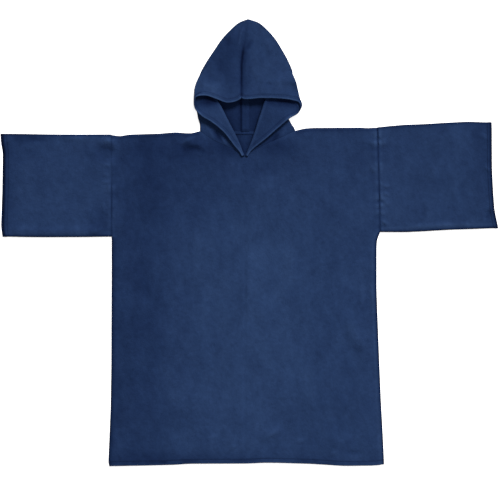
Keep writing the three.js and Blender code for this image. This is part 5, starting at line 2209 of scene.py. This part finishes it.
@dataclass(frozen=True)
class SoftBox:
    """A large soft lamp that looks at a point."""

    name: str
    position: Triple
    aim: Triple
    size: Pair
    watts: float

    def build(self) -> None:
        """Make the lamp."""
        lamp = bpy.data.lights.new(self.name, "AREA")
        lamp.shape = "RECTANGLE"
        lamp.size, lamp.size_y = self.size
        lamp.energy = self.watts
        holder = hang(self.name, lamp)
        holder.location = self.position
        way = Vector(self.aim) - Vector(self.position)
        holder.rotation_euler = way.to_track_quat("-Z", "Y").to_euler()


@dataclass(frozen=True)
class FarLamp:
    """A soft lamp so far away that its light is even over the whole garment."""

    name: str
    come_from: Triple
    strength: float
    spread: float

    def build(self) -> None:
        """Make the lamp."""
        lamp = bpy.data.lights.new(self.name, "SUN")
        lamp.energy = self.strength
        lamp.angle = math.radians(self.spread)
        holder = hang(self.name, lamp)
        holder.rotation_euler = Vector(self.come_from).to_track_quat("Z", "Y").to_euler()


@dataclass(frozen=True)
class Studio:
    """The white board, the soft lamps and the camera straight above."""

    place: Place
    view_centre: Pair = (16.5, 648.0)
    view_wide: float = 1.5
    camera_height: float = 3.4
    sensor: float = 36
    floor_size: float = 9
    floor_gap: float = 0.0002
    sky: float = 0.2
    lamps: tuple[SoftBox | FarLamp, ...] = (
        FarLamp("key", (0.28, 0.62, 0.6), 4.8, 20),
        SoftBox("over", (0.14, -0.15, 2.2), (0.1, -0.12, 0.0), (0.8, 0.8), 12),
    )

    def build(self) -> None:
        """Set the stage, the lights and the camera."""
        half = self.floor_size / 2
        corners = half * np.array([[-1, -1, 0], [1, -1, 0], [1, 1, 0], [-1, 1, 0]])
        corners[:, 2] -= self.floor_gap
        floor = make_object("floor", corners, np.array([[0, 1, 2, 3]]), np.ones(4))
        floor.data.materials.append(FloorFinish().material())
        world = bpy.data.worlds.new("soft_sky")
        bpy.context.scene.world = world
        world.use_nodes = True
        background = world.node_tree.nodes["Background"].inputs
        background["Color"].default_value = (1, 1, 1, 1)
        background["Strength"].default_value = self.sky
        for lamp in self.lamps:
            lamp.build()
        camera = bpy.data.cameras.new("camera")
        camera.sensor_width = self.sensor
        camera.lens = self.sensor * self.camera_height / self.view_wide
        camera.clip_end = 50
        holder = hang("camera", camera)
        x, y, _ = self.place.metres(np.array([*self.view_centre, 0.0]))
        holder.location = (x, y, self.camera_height)
        bpy.context.scene.camera = holder
        bpy.context.scene.view_settings.view_transform = "Standard"


# Rows across, up, wide, tall, shade. On the left sleeve, the patches at -655, 985 and -425, 939 are painted
# shade in creases' troughs, and the one at -418, 970 is a painted highlight on a ridge. The rest make the
# sleeves darker towards their cuffs, and lighter or darker in broad patches.
LEFT_SLEEVE_NAP_AND_SHADE = nap_and_shade_patches(
    (-735, 850, 50, 260, -0.26), (-690, 950, 110, 50, -0.14), (-655, 985, 44, 18, -0.24),
    (-425, 939, 60, 26, -0.2), (-418, 970, 20, 8, 0.2), (-430, 715, 44, 60, -0.24),
    (-560, 860, 120, 120, 0.03),
)
RIGHT_SLEEVE_NAP_AND_SHADE = nap_and_shade_patches(
    (735, 960, 60, 120, -0.2), (750, 800, 30, 120, -0.14), (440, 760, 60, 90, 0.1),
    (600, 1020, 140, 20, -0.06),
)


def main() -> None:
    """Build the studio and the poncho, piece by piece, logging the number of faces of each."""
    logging.basicConfig(level=logging.INFO, format="%(message)s")
    place = Place.of_frame()
    outline = Outline()
    relief = Relief(outline)
    Studio(place).build()
    cloth, thread = MicrofibreFinish().material(), ThreadFinish().material()
    BackPanel(outline, place).build(cloth, thread)
    FrontPanel(outline, place, relief=relief).build(cloth, thread)
    Sleeve(Side.LEFT, outline, relief, place, (0.33, 0.62), LEFT_SLEEVE_NAP_AND_SHADE).build(cloth, thread)
    Sleeve(Side.RIGHT, outline, relief, place, (0.36, 0.63), RIGHT_SLEEVE_NAP_AND_SHADE).build(cloth, thread)
    for side, rows in ((Side.LEFT, LEFT_ROWS), (Side.RIGHT, RIGHT_ROWS)):
        HoodHalf(side, rows, outline, relief, place).build(cloth, thread)
    SeamAllowances(place).build(cloth)


if __name__ == "__main__":
    main()
